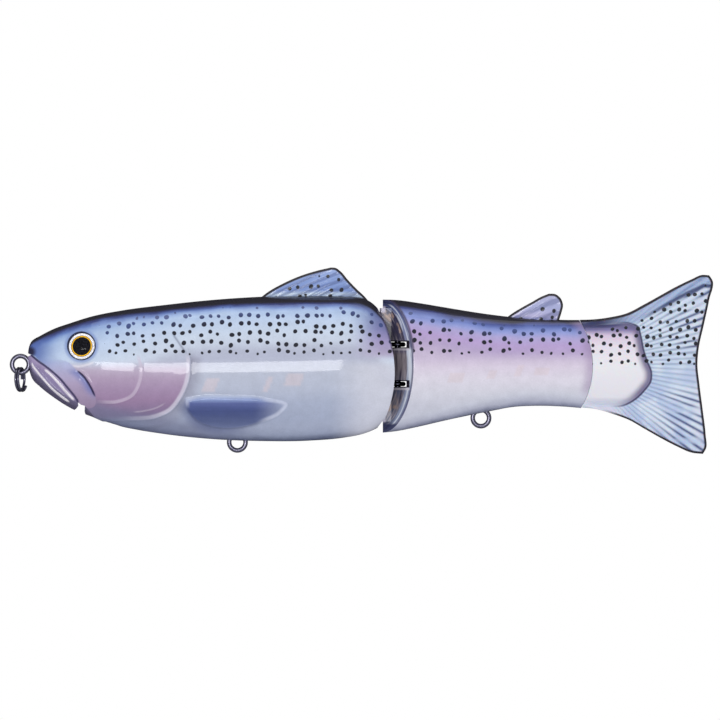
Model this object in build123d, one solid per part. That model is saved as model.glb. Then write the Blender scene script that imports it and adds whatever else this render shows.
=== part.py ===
from build123d import *
import math
import os

# A single-jointed hard glide swimbait, 175 mm from nose to tail tip, in millimetres.
# +X runs from nose to tail, +Z is up as it swims, and +Y is the fish's right.
# The origin is the centre of the wire line tie at the nose.
#
# Two hollow shell pairs are joined by a vertical pin. The front pair ends in a V-shaped socket
# and carries two wire hinge eyes. The rear pair starts with a V-shaped wedge whose slots take
# those eyes, and ends in a flat tang that the soft tail is pushed onto.

os.makedirs("parts", exist_ok=True)

# ---- Driving dimensions -------------------------------------------------------------------
WALL = 1.8                    # shell wall
BIG = 60.0                    # reach of a cutting solid past the body

# Body sections, nose to tail: station along X, top, bottom, half width.
FRONT_SECTIONS = [
    (1.9, 4.9, -1.2, 1.5),
    (3.0, 6.1, -3.6, 2.5),
    (5.0, 7.3, -5.7, 3.6),
    (8.3, 9.0, -8.3, 5.0),
    (12.5, 10.5, -11.0, 6.3),
    (18.3, 12.3, -13.4, 7.8),
    (26.5, 13.9, -16.0, 9.2),
    (36.7, 15.2, -17.8, 10.3),
    (49.0, 16.5, -19.1, 10.9),
    (61.0, 17.3, -19.6, 10.9),
    (74.0, 17.6, -19.5, 10.5),
    (83.0, 17.5, -18.7, 10.1),
    (87.5, 17.0, -17.8, 9.8),
    (90.0, 15.7, -16.9, 9.7),
    (93.0, 12.6, -15.3, 9.6),
    (97.0, 7.6, -12.6, 9.5),
]
SIDE_FLAT = 10.3              # the front section's bulging sides are pressed flat this far out
REAR_SECTIONS = [
    (91.0, 16.6, -17.6, 9.5),
    (96.0, 16.5, -17.1, 9.4),
    (102.0, 15.7, -15.9, 8.8),
    (108.0, 14.7, -14.5, 8.0),
    (114.0, 13.7, -13.2, 7.1),
    (120.0, 12.8, -12.0, 6.1),
    (126.0, 12.1, -10.9, 5.2),
    (132.0, 11.7, -10.6, 4.6),
    (139.0, 11.4, -10.8, 4.1),
    (147.5, 11.4, -11.6, 3.7),
]
PEDUNCLE_SECTIONS = [
    (142.0, 11.4, -11.1, 3.9),
    (147.5, 11.3, -11.3, 3.6),
    (152.0, 11.1, -10.9, 3.1),
    (156.5, 10.4, -9.6, 2.4),
    (161.5, 8.6, -7.4, 1.3),
]

# Joint between the two body sections
PIVOT_X = 96.5                # hinge pin axis
PIN_R = 0.8
PIN_HALF = 12.0               # half length of the pin
PIN_MID_Z = -0.6
SOCKET_APEX_X, SOCKET_SLOPE = 91.5, 0.484     # V socket: x = apex + slope * |y|
WEDGE_APEX_X, WEDGE_SLOPE = 92.7, 0.871       # V wedge of the rear section
NOSE_RIB_R = 4.6              # the wedge's rounded nose, about the pivot
NOSE_RIB_HALF = 2.0
NOSE_RIB_Z = (-14.6, 14.4)
SOCKET_CHANNEL_R = 5.2        # room for that nose in the socket
HINGE_EYE_Z = (5.1, -5.0)     # heights of the two hinge eyes
SLOT_HALF = 1.15              # half height of the slot round each eye
SLOT_END_X = 99.7

# Wire eyes: a loop outside, a shank, and a loop inside that a moulded post holds
WIRE_R = 0.6
LINE_TIE_LOOP_R = 2.15
HANGER_LOOP_R = 2.1
HINGE_LOOP_R = PIN_R + 0.06 + WIRE_R
ANCHOR_LOOP_R = 1.35
LINE_TIE_ANCHOR_X = 9.0
FRONT_HANGER = (55.5, -19.9)  # loop centre, x and z
REAR_HANGER = (117.8, -13.7)
FRONT_HANGER_ANCHOR_Z = -15.0
REAR_HANGER_ANCHOR_Z = -8.9
HINGE_ANCHOR_X = 87.2
HANGER_BOSS_HALF = 3.2        # moulded block that holds each hanger's inner loop
HANGER_BOSS_RISE = 3.0        # height of that block over the inner loop's centre

# Split ring on the line tie
RING_R = 2.88                 # centre line of its coil
RING_WIRE_R = 0.33
RING_TURNS = 1.9
RING_DROP = 3.85              # its centre under the line tie's
RING_YAW = 20.0               # it hangs a little turned

# Eyes
EYE_X, EYE_Z = 15.6, 4.75
EYE_R = 3.5
EYE_TILT = 12.0               # towards the nose, and up
EYE_SOCKET_DEPTH = 1.6
EYE_DISC_T = 0.4
EYE_DOME_TOP = 1.0            # over the skin
EYE_DOME_RISE = 1.3           # of the cap alone

# Ballast rods: first and last x, height of the axis, radius
FORE_WEIGHT = (28.0, 49.0, -9.4, 5.0)
AFT_WEIGHT = (62.0, 80.0, -12.0, 5.0)
REAR_WEIGHT = (103.5, 113.5, -7.2, 3.6)
CRADLE_HALF = 1.5             # each end of a rod sits this deep in a cradle rib
CRADLE_RISE = 2.0             # of a cradle rib over the rod's axis

# Cavities: first and last x
FRONT_CAVITY = (22.0, 83.0)
REAR_CAVITY = (102.5, 138.0)

# Fins
DORSAL_FIN = [(61.0, 17.0), (67.4, 20.7), (73.6, 23.3), (79.4, 24.8), (81.4, 24.0), (89.5, 16.0), (86.0, 13.0), (64.0, 13.0)]
DORSAL_HALF = 0.95
ADIPOSE_FIN = [(124.0, 12.1), (130.9, 15.9), (134.8, 18.0), (137.2, 17.9), (139.3, 15.6), (138.0, 11.5), (136.0, 9.5), (126.0, 9.5)]
ADIPOSE_HALF = 0.8
FIN_CORNER_R = 0.8

# Soft tail
TANG = [(140.0, -6.6), (140.0, 7.6), (150.0, 7.0), (156.5, 4.4), (156.5, -4.2), (150.0, -6.2)]
TANG_HALF = 1.0
TANG_GAP = 0.25
REAR_END_X, REAR_END_R = 146.4, 21.5   # the shells end in an arc that the tail's sleeve follows
REAR_END_MID_Z = -0.3
SLEEVE_GAP = 0.3
FLEX_X = 161.8                # upright line that the tail fin bends on
FLEX_BARREL_R = 1.1
FLEX_GAP = 0.3
FIN_HALF = 0.8
FIN_UPPER_EDGE = [(145.0, 11.2), (151.3, 12.1), (156.5, 13.6), (163.6, 17.6), (171.0, 21.5), (175.3, 23.1)]
FIN_TRAILING_EDGE = [(177.0, 21.6), (174.8, 10.0), (173.1, 1.0), (173.7, -5.0), (175.2, -17.0), (175.3, -21.4)]
FIN_LOWER_EDGE = [(173.6, -22.9), (169.0, -21.5), (163.6, -18.8), (156.5, -14.8), (151.3, -12.7), (145.0, -11.4)]

# Mouth
MOUTH_GROOVE = [(1.0, 2.6), (4.1, 1.5), (6.3, -1.9), (9.1, -4.9), (12.0, -7.6), (14.6, -9.3), (13.8, -9.9), (11.8, -9.0), (9.1, -6.8), (5.6, -3.4), (2.9, 0.7), (1.0, 1.8)]
MOUTH_CORE = 0.66             # share of the head's section that the groove leaves whole
THROAT_NOTCH = [(14.6, -9.0), (16.7, -10.3), (16.7, -16.0), (12.6, -16.0), (14.2, -11.6)]


# ---- Small helpers -------------------------------------------------------------------------
def at_x(x, z=0.0):
    """A sketch plane across the body at x: its first axis is +Y and its second +Z."""
    return Plane(origin=(x, 0, z), x_dir=(0, 1, 0), z_dir=(1, 0, 0))


def body_loft(sections, inset=0.0, share=1.0):
    """A smooth body through elliptical sections, each drawn in by inset and then scaled."""
    faces = []
    for x, top, bottom, half in sections:
        height = (top - bottom) / 2 - inset
        faces.append(at_x(x, (top + bottom) / 2) * Ellipse((half - inset) * share, height * share))
    return loft(faces)


def between(sections, x):
    """Top, bottom and half width at any x, straight between the two nearest sections."""
    for one, other in zip(sections, sections[1:]):
        if one[0] <= x <= other[0]:
            t = (x - one[0]) / (other[0] - one[0])
            return tuple(a + (b - a) * t for a, b in zip(one[1:], other[1:]))
    raise ValueError(f"no section at x = {x}")


def skin_y(sections, x, z):
    """Half width of the body's skin at one point of its side view."""
    top, bottom, half = between(sections, x)
    return half * math.sqrt(1 - ((z - (top + bottom) / 2) / ((top - bottom) / 2)) ** 2)


def span(sections, first, last, inset):
    """Body sections from first to last, drawn in by inset, for a cavity."""
    inner = [s for s in sections if first < s[0] < last]
    ends = [(x, *between(sections, x)) for x in (first, last)]
    return body_loft([ends[0], *inner, ends[1]], inset)


def box(x0, x1, y0, y1, z0, z1):
    """An axis-aligned block between two corners."""
    block = Box(x1 - x0, y1 - y0, z1 - z0)
    return Pos((x0 + x1) / 2, (y0 + y1) / 2, (z0 + z1) / 2) * block


def side_plate(outline, half, corner_r=0.0):
    """A plate of a side-view outline, of this half thickness, on the middle plane."""
    face = Plane.XZ * make_face(Polyline(*outline, close=True))
    if corner_r:
        tall = sorted(face.vertices(), key=lambda v: v.Z)[-3:]
        face = fillet(tall, corner_r)
    return extrude(face, half, both=True)


def upright(outline, z0, z1):
    """A prism of a plan outline between two heights."""
    return Pos(0, 0, z0) * extrude(make_face(Polyline(*outline, close=True)), z1 - z0)


def rod_x(x0, x1, radius, z):
    """A round rod along X at height z."""
    return extrude(at_x(x0, z) * Circle(radius), x1 - x0)


def left_of(shape):
    """The half of a shape on the fish's left."""
    return shape & box(-BIG, 4 * BIG, -BIG, 0, -BIG, BIG)


def right_of(shape):
    """The half of a shape on the fish's right."""
    return shape & box(-BIG, 4 * BIG, 0, BIG, -BIG, BIG)


def save(shape, name):
    """Writes one node."""
    solids = shape.solids()
    export_step(solids[0] if len(solids) == 1 else Compound(children=list(solids)), f"parts/{name}.step")


# ---- Wire parts ----------------------------------------------------------------------------
def loop(radius, normal):
    """A closed wire loop at the origin, with its axis along normal."""
    return Plane(origin=(0, 0, 0), z_dir=normal) * Torus(radius, WIRE_R)


def wire_eye(loop_r, loop_at, loop_normal, anchor_at):
    """A wire eye: an outer loop, a shank, and an inner loop across the body."""
    a, b = Vector(*loop_at), Vector(*anchor_at)
    way = (b - a).normalized()
    shank = extrude(Plane(origin=a + way * loop_r, z_dir=way) * Circle(WIRE_R), (b - a).length - loop_r - ANCHOR_LOOP_R)
    return Pos(*a) * loop(loop_r, loop_normal) + shank + Pos(*b) * loop(ANCHOR_LOOP_R, (0, 1, 0))


def split_ring():
    """A coil of nearly two turns, hanging in the line tie."""
    pitch = 2 * RING_WIRE_R + 0.02
    path = Helix(pitch, pitch * RING_TURNS, RING_R)
    start = Plane(origin=path @ 0, z_dir=path % 0)
    coil = sweep(start * Circle(RING_WIRE_R), path=path, is_frenet=True)
    coil = Pos(0, 0, -pitch * RING_TURNS / 2) * coil
    lying = Rot(0, 90, 0) * Rot(0, 0, 90) * coil
    return Pos(0, 0, -RING_DROP) * Rot(0, 0, -RING_YAW) * lying


# ---- Shells --------------------------------------------------------------------------------
def cradles(sections, weight, cavity):
    """Two ribs across the cavity, each with a pocket for one end of a ballast rod."""
    x0, x1, z, radius = weight
    ribs = []
    for end in (x0, x1):
        slab = box(end - CRADLE_HALF, end + CRADLE_HALF, -BIG, BIG, -BIG, z + CRADLE_RISE)
        ribs.append((slab & cavity) - rod_x(x0, x1, radius, z))
    return ribs


def hanger_boss(x, z_top, cavity):
    """The block on the belly's inside that holds a hanger's inner loop."""
    return box(x - HANGER_BOSS_HALF, x + HANGER_BOSS_HALF, -HANGER_BOSS_HALF, HANGER_BOSS_HALF, -BIG, z_top) & cavity


def vee(apex_x, slope, reach_x):
    """Everything behind an upright V, whose apex points to the nose."""
    far = apex_x + slope * BIG / 3
    side = BIG / 3
    return upright([(apex_x, 0), (far, side), (max(reach_x, far), side), (max(reach_x, far), -side), (far, -side)], -BIG, BIG)


def pin_column(radius, z0, z1):
    """An upright round column on the hinge axis."""
    return Pos(PIVOT_X, 0, z0) * extrude(Circle(radius), z1 - z0)


def eye_plane():
    """The left eye's plane: at the skin, with its axis out of the head."""
    t = math.radians(EYE_TILT)
    y = -skin_y(FRONT_SECTIONS, EYE_X, EYE_Z)
    outward = (-math.sin(t) * math.cos(t), -math.cos(t) * math.cos(t), math.sin(t))
    return Plane(origin=(EYE_X, y, EYE_Z), z_dir=outward)


def eye_cylinder(radius, low, high):
    """A round block on the left eye's axis, between two depths from the skin."""
    return eye_plane() * (Pos(0, 0, low) * extrude(Circle(radius), high - low))


def front_body(wires):
    """The whole front shell pair as one body, before it is parted down the middle."""
    cavity = span(FRONT_SECTIONS, *FRONT_CAVITY, WALL)
    head = body_loft(FRONT_SECTIONS) & box(-BIG, 4 * BIG, -SIDE_FLAT, SIDE_FLAT, -BIG, BIG)
    core = body_loft(FRONT_SECTIONS[:7], 0, MOUTH_CORE)
    body = head - cavity
    body += side_plate(DORSAL_FIN, DORSAL_HALF, FIN_CORNER_R) - cavity
    body -= side_plate(MOUTH_GROOVE, BIG) - core
    body -= side_plate(THROAT_NOTCH, BIG)
    body -= vee(SOCKET_APEX_X, SOCKET_SLOPE, 2 * BIG)
    body -= pin_column(SOCKET_CHANNEL_R, -BIG, BIG)
    for rib in (*cradles(FRONT_SECTIONS, FORE_WEIGHT, cavity), *cradles(FRONT_SECTIONS, AFT_WEIGHT, cavity)):
        body += rib
    body += hanger_boss(FRONT_HANGER[0], FRONT_HANGER_ANCHOR_Z + HANGER_BOSS_RISE, cavity)
    socket = eye_cylinder(EYE_R, -EYE_SOCKET_DEPTH, BIG / 4)
    body -= socket
    body -= mirror(socket, about=Plane.XZ)
    for wire in wires:
        body -= wire
    return body


def rear_end(gap=0.0):
    """Everything ahead of the arc that ends the rear shells, grown by gap."""
    centre = Pos(REAR_END_X - REAR_END_R, 0, REAR_END_MID_Z)
    round_end = centre * Rot(90, 0, 0) * Cylinder(REAR_END_R + gap, BIG)
    return round_end + box(0, REAR_END_X - REAR_END_R, -BIG / 2, BIG / 2, -BIG, BIG)


def rear_body(wires, pin):
    """The whole rear shell pair as one body, before it is parted down the middle."""
    cavity = span(REAR_SECTIONS, *REAR_CAVITY, WALL)
    body = body_loft(REAR_SECTIONS) & vee(WEDGE_APEX_X, WEDGE_SLOPE, 3 * BIG) & rear_end()
    body += side_plate(ADIPOSE_FIN, ADIPOSE_HALF, FIN_CORNER_R)
    rib = pin_column(NOSE_RIB_R, *NOSE_RIB_Z) & box(0, PIVOT_X, -NOSE_RIB_HALF, NOSE_RIB_HALF, -BIG, BIG)
    body += rib
    body -= cavity
    for z in HINGE_EYE_Z:
        body -= box(80, SLOT_END_X, -BIG, BIG, z - SLOT_HALF, z + SLOT_HALF)
    for cradle in cradles(REAR_SECTIONS, REAR_WEIGHT, cavity):
        body += cradle
    body += hanger_boss(REAR_HANGER[0], REAR_HANGER_ANCHOR_Z + HANGER_BOSS_RISE, cavity)
    body += side_plate(TANG, TANG_HALF)
    body -= pin
    for wire in wires:
        body -= wire
    return body


# ---- Soft tail -----------------------------------------------------------------------------
def fin_blade():
    """The thin plate of the tail fin, from the sleeve to the trailing edge."""
    upper, trailing, lower = Spline(*FIN_UPPER_EDGE), Spline(*FIN_TRAILING_EDGE), Spline(*FIN_LOWER_EDGE)
    tips = [ThreePointArc(upper @ 1, (176.7, 22.9), trailing @ 0), ThreePointArc(trailing @ 1, (174.8, -22.7), lower @ 0)]
    root = Line(lower @ 1, upper @ 0)
    face = make_face(Wire([upper, tips[0], trailing, tips[1], lower, root]))
    return extrude(Plane.XZ * face, FIN_HALF, both=True)


def flex_barrel(radius, gap=0.0):
    """A round column on the line that the tail fin bends on, as tall as the blade is there."""
    return Pos(FLEX_X, 0, -17.2 - gap) * extrude(Circle(radius), 33.2 + 2 * gap)


def tail_sleeve():
    """The thick front of the soft tail, with the pocket for the tang."""
    behind = box(0, FLEX_X, -BIG, BIG, -BIG, BIG)
    sleeve = (body_loft(PEDUNCLE_SECTIONS) + fin_blade()) & behind
    sleeve -= rear_end(SLEEVE_GAP)
    pocket = Plane.XZ * offset(make_face(Polyline(*TANG, close=True)), TANG_GAP, kind=Kind.INTERSECTION)
    sleeve -= extrude(pocket, TANG_HALF + TANG_GAP, both=True)
    return sleeve - flex_barrel(FLEX_BARREL_R + FLEX_GAP, BIG / 6)


def tail_fin():
    """The blade behind the flex line, with a round root that turns in the sleeve's end."""
    blade = fin_blade() & box(FLEX_X, 4 * BIG, -BIG, BIG, -BIG, BIG)
    return blade + flex_barrel(FLEX_BARREL_R)


# ---- The assembly --------------------------------------------------------------------------
line_tie = wire_eye(LINE_TIE_LOOP_R, (0, 0, 0), (0, 1, 0), (LINE_TIE_ANCHOR_X, 0, 0))
front_hanger = wire_eye(
    HANGER_LOOP_R, (FRONT_HANGER[0], 0, FRONT_HANGER[1]), (0, 1, 0), (FRONT_HANGER[0], 0, FRONT_HANGER_ANCHOR_Z)
)
rear_hanger = wire_eye(
    HANGER_LOOP_R, (REAR_HANGER[0], 0, REAR_HANGER[1]), (0, 1, 0), (REAR_HANGER[0], 0, REAR_HANGER_ANCHOR_Z)
)
hinge_eyes = [wire_eye(HINGE_LOOP_R, (PIVOT_X, 0, z), (0, 0, 1), (HINGE_ANCHOR_X, 0, z)) for z in HINGE_EYE_Z]
hinge_pin = pin_column(PIN_R, PIN_MID_Z - PIN_HALF, PIN_MID_Z + PIN_HALF)

front = front_body([line_tie, front_hanger, *hinge_eyes])
rear = rear_body([rear_hanger], hinge_pin)

eye_disc = eye_cylinder(EYE_R, -EYE_SOCKET_DEPTH, EYE_DISC_T - EYE_SOCKET_DEPTH)
cap_r = (EYE_R**2 + EYE_DOME_RISE**2) / (2 * EYE_DOME_RISE)
cap = eye_plane() * (Pos(0, 0, EYE_DOME_TOP - cap_r) * Sphere(cap_r))
eye_dome = eye_cylinder(EYE_R, EYE_DISC_T - EYE_SOCKET_DEPTH, EYE_DOME_TOP + 1) & cap

save(left_of(front), "front_shell_left")
save(right_of(front), "front_shell_right")
save(left_of(rear), "rear_shell_left")
save(right_of(rear), "rear_shell_right")
save(line_tie, "line_tie")
save(split_ring(), "split_ring")
save(front_hanger, "front_hook_hanger")
save(rear_hanger, "rear_hook_hanger")
for name, eye in zip(("upper", "lower"), hinge_eyes):
    save(eye, f"hinge_eye_{name}")
save(hinge_pin, "hinge_pin")
for name, weight in (("front_fore", FORE_WEIGHT), ("front_aft", AFT_WEIGHT), ("rear", REAR_WEIGHT)):
    x0, x1, z, radius = weight
    save(rod_x(x0, x1, radius, z), f"{name}_keel_weight")
save(eye_disc, "eye_disc_left")
save(mirror(eye_disc, about=Plane.XZ), "eye_disc_right")
save(eye_dome, "eye_dome_left")
save(mirror(eye_dome, about=Plane.XZ), "eye_dome_right")
save(tail_sleeve(), "tail_sleeve")
save(tail_fin(), "tail_fin")
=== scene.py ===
"""Finished looks of a single-jointed trout swimbait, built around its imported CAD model.

Sizes in the classes are millimetres in the part's own frame: +X runs from nose to tail, +Z is up and
-Y is the fish's left. Meshes are written in metres.
"""
import logging
import math
from dataclasses import dataclass, field
from enum import Enum
from typing import Callable, Optional, Sequence

import bmesh
import bpy
import numpy as np
from mathutils import Matrix, Vector


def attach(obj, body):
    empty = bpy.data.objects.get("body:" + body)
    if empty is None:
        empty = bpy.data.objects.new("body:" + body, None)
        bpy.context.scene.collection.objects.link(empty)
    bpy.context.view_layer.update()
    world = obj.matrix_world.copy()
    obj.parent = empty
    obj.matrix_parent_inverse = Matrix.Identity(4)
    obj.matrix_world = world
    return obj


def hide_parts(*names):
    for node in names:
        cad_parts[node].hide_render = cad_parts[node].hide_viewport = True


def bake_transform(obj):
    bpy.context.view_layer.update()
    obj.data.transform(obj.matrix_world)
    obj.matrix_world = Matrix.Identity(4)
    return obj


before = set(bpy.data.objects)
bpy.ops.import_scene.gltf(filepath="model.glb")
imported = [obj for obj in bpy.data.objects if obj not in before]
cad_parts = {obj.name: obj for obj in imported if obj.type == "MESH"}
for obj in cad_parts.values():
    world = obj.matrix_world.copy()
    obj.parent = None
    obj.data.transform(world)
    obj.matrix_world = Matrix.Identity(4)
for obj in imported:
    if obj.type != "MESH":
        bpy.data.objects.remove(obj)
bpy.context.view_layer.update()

MM = 0.001
FAR = 60.0                        # farther out than any skin of the lure
LOG = logging.getLogger("swimbait")
Point = tuple[float, float]


class Side(Enum):
    """The two halves of the lure."""

    LEFT = -1
    RIGHT = 1

    @property
    def label(self) -> str:
        """The word that piece names use for this side."""
        return self.name.lower()


# ---- Lines and profiles ----------------------------------------------------------------------
class Course:
    """A smooth value along one axis, through a few stations."""

    def __init__(self, stations: Sequence[Sequence[float]], column: int = 1) -> None:
        """Fits the course.

        Args:
            stations: rows that start with the place along the axis.
            column: the row entry that this course follows.
        """
        self.at = np.array([row[0] for row in stations], float)
        self.value = np.array([row[column] for row in stations], float)
        self.slope = np.gradient(self.value, self.at)

    def __call__(self, place: np.ndarray) -> np.ndarray:
        """Returns the value at each place, held constant past the ends."""
        place = np.clip(place, self.at[0], self.at[-1])
        i = np.clip(np.searchsorted(self.at, place) - 1, 0, len(self.at) - 2)
        gap = self.at[i + 1] - self.at[i]
        t = (place - self.at[i]) / gap
        start, end = self.value[i], self.value[i + 1]
        rise, fall = self.slope[i] * gap, self.slope[i + 1] * gap
        return (
            start * (2 * t**3 - 3 * t**2 + 1)
            + rise * (t**3 - 2 * t**2 + t)
            + end * (3 * t**2 - 2 * t**3)
            + fall * (t**3 - t**2)
        )


class Line:
    """A smooth side-view line through a few (x, z) points."""

    STEPS = 160

    def __init__(self, points: Sequence[Point], closed: bool = False) -> None:
        """Samples the line evenly.

        Args:
            points: the points it passes through.
            closed: whether it returns to its first point.
        """
        ring = list(points) + ([points[0]] if closed else [])
        knots = np.array(ring, float)
        chord = np.concatenate([[0], np.cumsum(np.linalg.norm(np.diff(knots, axis=0), axis=1))])
        even = np.linspace(0, chord[-1], self.STEPS)
        rows = np.column_stack([chord, knots])
        self.points = np.column_stack([Course(rows, 1)(even), Course(rows, 2)(even)])

    def at(self, share: "float | np.ndarray") -> np.ndarray:
        """Returns the (x, z) points at these shares of the line's length."""
        place = np.asarray(share, float) * (self.STEPS - 1)
        steps = np.arange(self.STEPS)
        return np.stack([np.interp(place, steps, self.points[:, k]) for k in (0, 1)], axis=-1)

    def nearest(self, x: np.ndarray, z: np.ndarray) -> tuple[np.ndarray, np.ndarray]:
        """Measures from points to the line.

        Args:
            x: the points' places along the body.
            z: their heights.

        Returns:
            The signed distance, positive to the left of the line's way, and the share along it.
        """
        best = np.full(x.shape, np.inf)
        signed, share = np.zeros(x.shape), np.zeros(x.shape)
        for i in range(self.STEPS - 1):
            a, b = self.points[i], self.points[i + 1]
            way = b - a
            length = float(way @ way) or 1e-12
            t = np.clip(((x - a[0]) * way[0] + (z - a[1]) * way[1]) / length, 0, 1)
            dx, dz = x - a[0] - t * way[0], z - a[1] - t * way[1]
            gap = np.hypot(dx, dz)
            closer = gap < best
            turn = way[0] * dz - way[1] * dx
            best = np.where(closer, gap, best)
            signed = np.where(closer, np.copysign(gap, turn), signed)
            share = np.where(closer, (i + t) / (self.STEPS - 1), share)
        return signed, share


def smooth(low: float, high: float, value: np.ndarray) -> np.ndarray:
    """Returns 0 below low, 1 above high, and an eased step between them."""
    t = np.clip((value - low) / (high - low), 0, 1)
    return t * t * (3 - 2 * t)


def both_ends(fade: float, share: np.ndarray) -> np.ndarray:
    """Returns 1 along a line's middle, dying away over this share of it at each end."""
    return smooth(0, fade, share) * smooth(0, fade, 1 - share)


def rounded(gap: np.ndarray, radius: float) -> np.ndarray:
    """Returns 0 at an edge, 1 from the radius inwards, and a quarter circle between them."""
    return np.sqrt(np.clip(1 - (1 - np.clip(gap / radius, 0, 1)) ** 2, 0, 1))


def gap_to(lines: Sequence[Sequence[Point]], x: np.ndarray, z: np.ndarray) -> np.ndarray:
    """Returns each point's distance to the nearest of the lines."""
    return np.minimum.reduce([abs(Line(points).nearest(x, z)[0]) for points in lines])


def stretched(
    lead: Line, last: Line, base: np.ndarray, trail: Line, s: np.ndarray, t: np.ndarray
) -> np.ndarray:
    """Stretches a patch between four side-view edges.

    Args:
        lead: the edge at s = 0, from base to trail.
        last: the edge at s = 1, from base to trail.
        base: points of the edge at t = 0, one for each s.
        trail: the edge at t = 1, from lead to last.
        s: shares across, one for each point.
        t: shares along, one for each point.

    Returns:
        One (x, z) row for each point.
    """
    s, t, far = s[:, None], t[:, None], trail.at(s)
    sides = (1 - s) * (lead.at(t[:, 0]) - (1 - t) * lead.at(0) - t * lead.at(1))
    sides += s * (last.at(t[:, 0]) - (1 - t) * last.at(0) - t * last.at(1))
    return sides + (1 - t) * base + t * far


@dataclass(frozen=True)
class Bead:
    """A moulded ridge (height above 0) or crease (below 0) along a line."""

    points: tuple[Point, ...]
    height: float
    half_width: float
    fade: float = 0.12            # share of the line over which each end dies away
    tinted: float = 0.0           # strength of the painted shade in a crease and the painted highlight on a ridge

    def lift(self, x: np.ndarray, z: np.ndarray) -> np.ndarray:
        """Returns how far each point of the skin is lifted."""
        gap, share = Line(self.points).nearest(x, z)
        return self.height * np.exp(-((gap / self.half_width) ** 2)) * both_ends(self.fade, share)


@dataclass(frozen=True)
class Patch:
    """A slanted four-sided patch of painted reflection: a pink flash of light off the foil inside."""

    x: float
    z: float
    width: float
    height: float
    slant: float = 0.4

    def cover(self, x: np.ndarray, z: np.ndarray) -> np.ndarray:
        """Returns 1 inside the patch and 0 outside."""
        across = self.width / 2 - abs(x - self.x - self.slant * (z - self.z))
        return smooth(0, 0.5, across) * smooth(0, 0.5, self.height / 2 - abs(z - self.z))


@dataclass(frozen=True)
class Plate:
    """A moulded plate inside a closed line, with soft shoulders."""

    points: tuple[Point, ...]
    shoulder: float
    height: float = 1.0

    def inside(self, x: np.ndarray, z: np.ndarray) -> np.ndarray:
        """Returns the signed distance to the outline, positive inside."""
        gap, _ = Line(self.points, closed=True).nearest(x, z)
        ring = np.array(self.points)
        area = np.sum(ring[:, 0] * np.roll(ring[:, 1], -1) - np.roll(ring[:, 0], -1) * ring[:, 1])
        return gap * np.sign(area)


# ---- Mesh helpers ----------------------------------------------------------------------------
Place = Callable[[np.ndarray, np.ndarray], np.ndarray]
Mesh = bmesh.types.BMesh
EVERYWHERE = (-1.0, 2.0)          # shares that no cell is beyond


def sheet(columns: int, rows: int, place: Place, skin: Point = EVERYWHERE) -> Mesh:
    """Makes a grid and lays it on a surface.

    Args:
        columns: cells along u.
        rows: cells along v.
        place: gives the (x, y, z) in millimetres of each (u, v), both from 0 to 1.
        skin: cells below the first u or above the second take slot 1, the others slot 0.

    Returns:
        The new bmesh, in metres.
    """
    bm = bmesh.new()
    bmesh.ops.create_grid(bm, x_segments=columns, y_segments=rows, size=0.5)
    for face in bm.faces:
        u = face.calc_center_median().x + 0.5
        face.material_index = int(u < skin[0] or u > skin[1])
    flat = np.array([vertex.co for vertex in bm.verts]) + 0.5
    for vertex, point in zip(bm.verts, place(flat[:, 0], flat[:, 1]) * MM):
        vertex.co = point
    return bm


def prism(outline: Sequence[Point], low: float, high: float, upright: bool = False) -> Mesh:
    """Makes a bar along Y of a side-view outline, or along Z of a plan.

    Args:
        outline: (x, z) corners, or (x, y) corners of an upright bar.
        low: where it starts along its way.
        high: where it ends.
        upright: whether it runs along Z.

    Returns:
        The new bmesh, in metres.
    """
    way = Vector((0, 0, 1)) if upright else Vector((0, 1, 0))
    other = Vector((0, 1, 0)) if upright else Vector((0, 0, 1))
    bm = bmesh.new()
    corners = [(Vector((a, 0, 0)) + other * b + way * low) * MM for a, b in outline]
    face = bm.faces.new([bm.verts.new(maxilla_shade) for maxilla_shade in corners])
    grown = bmesh.ops.extrude_face_region(bm, geom=[face])
    moved = [g for g in grown["geom"] if isinstance(g, bmesh.types.BMVert)]
    bmesh.ops.translate(bm, vec=way * (high - low) * MM, verts=moved)
    bmesh.ops.recalc_face_normals(bm, faces=bm.faces)
    return bm


def column(x: float, radius: float) -> Mesh:
    """Makes an upright round column through the middle plane at x, taller than the lure."""
    bm = bmesh.new()
    bmesh.ops.create_cone(
        bm, cap_ends=True, segments=64, radius1=radius * MM, radius2=radius * MM, depth=FAR * MM,
        matrix=Matrix.Translation(Vector((x, 0, 0)) * MM),
    )
    return bm


def turned(profile: Sequence[Point], seat_at: Matrix, steps: int = 96) -> Mesh:
    """Spins a profile into a round piece.

    Args:
        profile: (radius, height) points in millimetres, from the axis outwards.
        seat_at: where the piece's own origin and axis go.
        steps: how many segments go round.

    Returns:
        The new bmesh, in metres, closed and facing outwards.
    """
    bm = bmesh.new()
    verts = [bm.verts.new(Vector((r, 0, h)) * MM) for r, h in profile]
    edges = [bm.edges.new(pair) for pair in zip(verts, verts[1:])]
    bmesh.ops.spin(
        bm, geom=verts + edges, cent=(0, 0, 0), axis=(0, 0, 1), angle=math.tau, steps=steps, use_merge=True,
    )
    bmesh.ops.remove_doubles(bm, verts=bm.verts, dist=1e-7)
    bmesh.ops.holes_fill(bm, edges=[e for e in bm.edges if e.is_boundary])
    bmesh.ops.recalc_face_normals(bm, faces=bm.faces)
    bmesh.ops.transform(bm, matrix=seat_at, verts=bm.verts)
    return bm


def in_slot(bm: Mesh, slot: int) -> Mesh:
    """Gives every face of a bmesh this material slot."""
    for face in bm.faces:
        face.material_index = slot
    return bm


def flipped(bm: Mesh) -> Mesh:
    """Mirrors a bmesh to the lure's other side."""
    bmesh.ops.scale(bm, vec=(1, -1, 1), verts=bm.verts)
    bmesh.ops.reverse_faces(bm, faces=bm.faces)
    return bm


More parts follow.
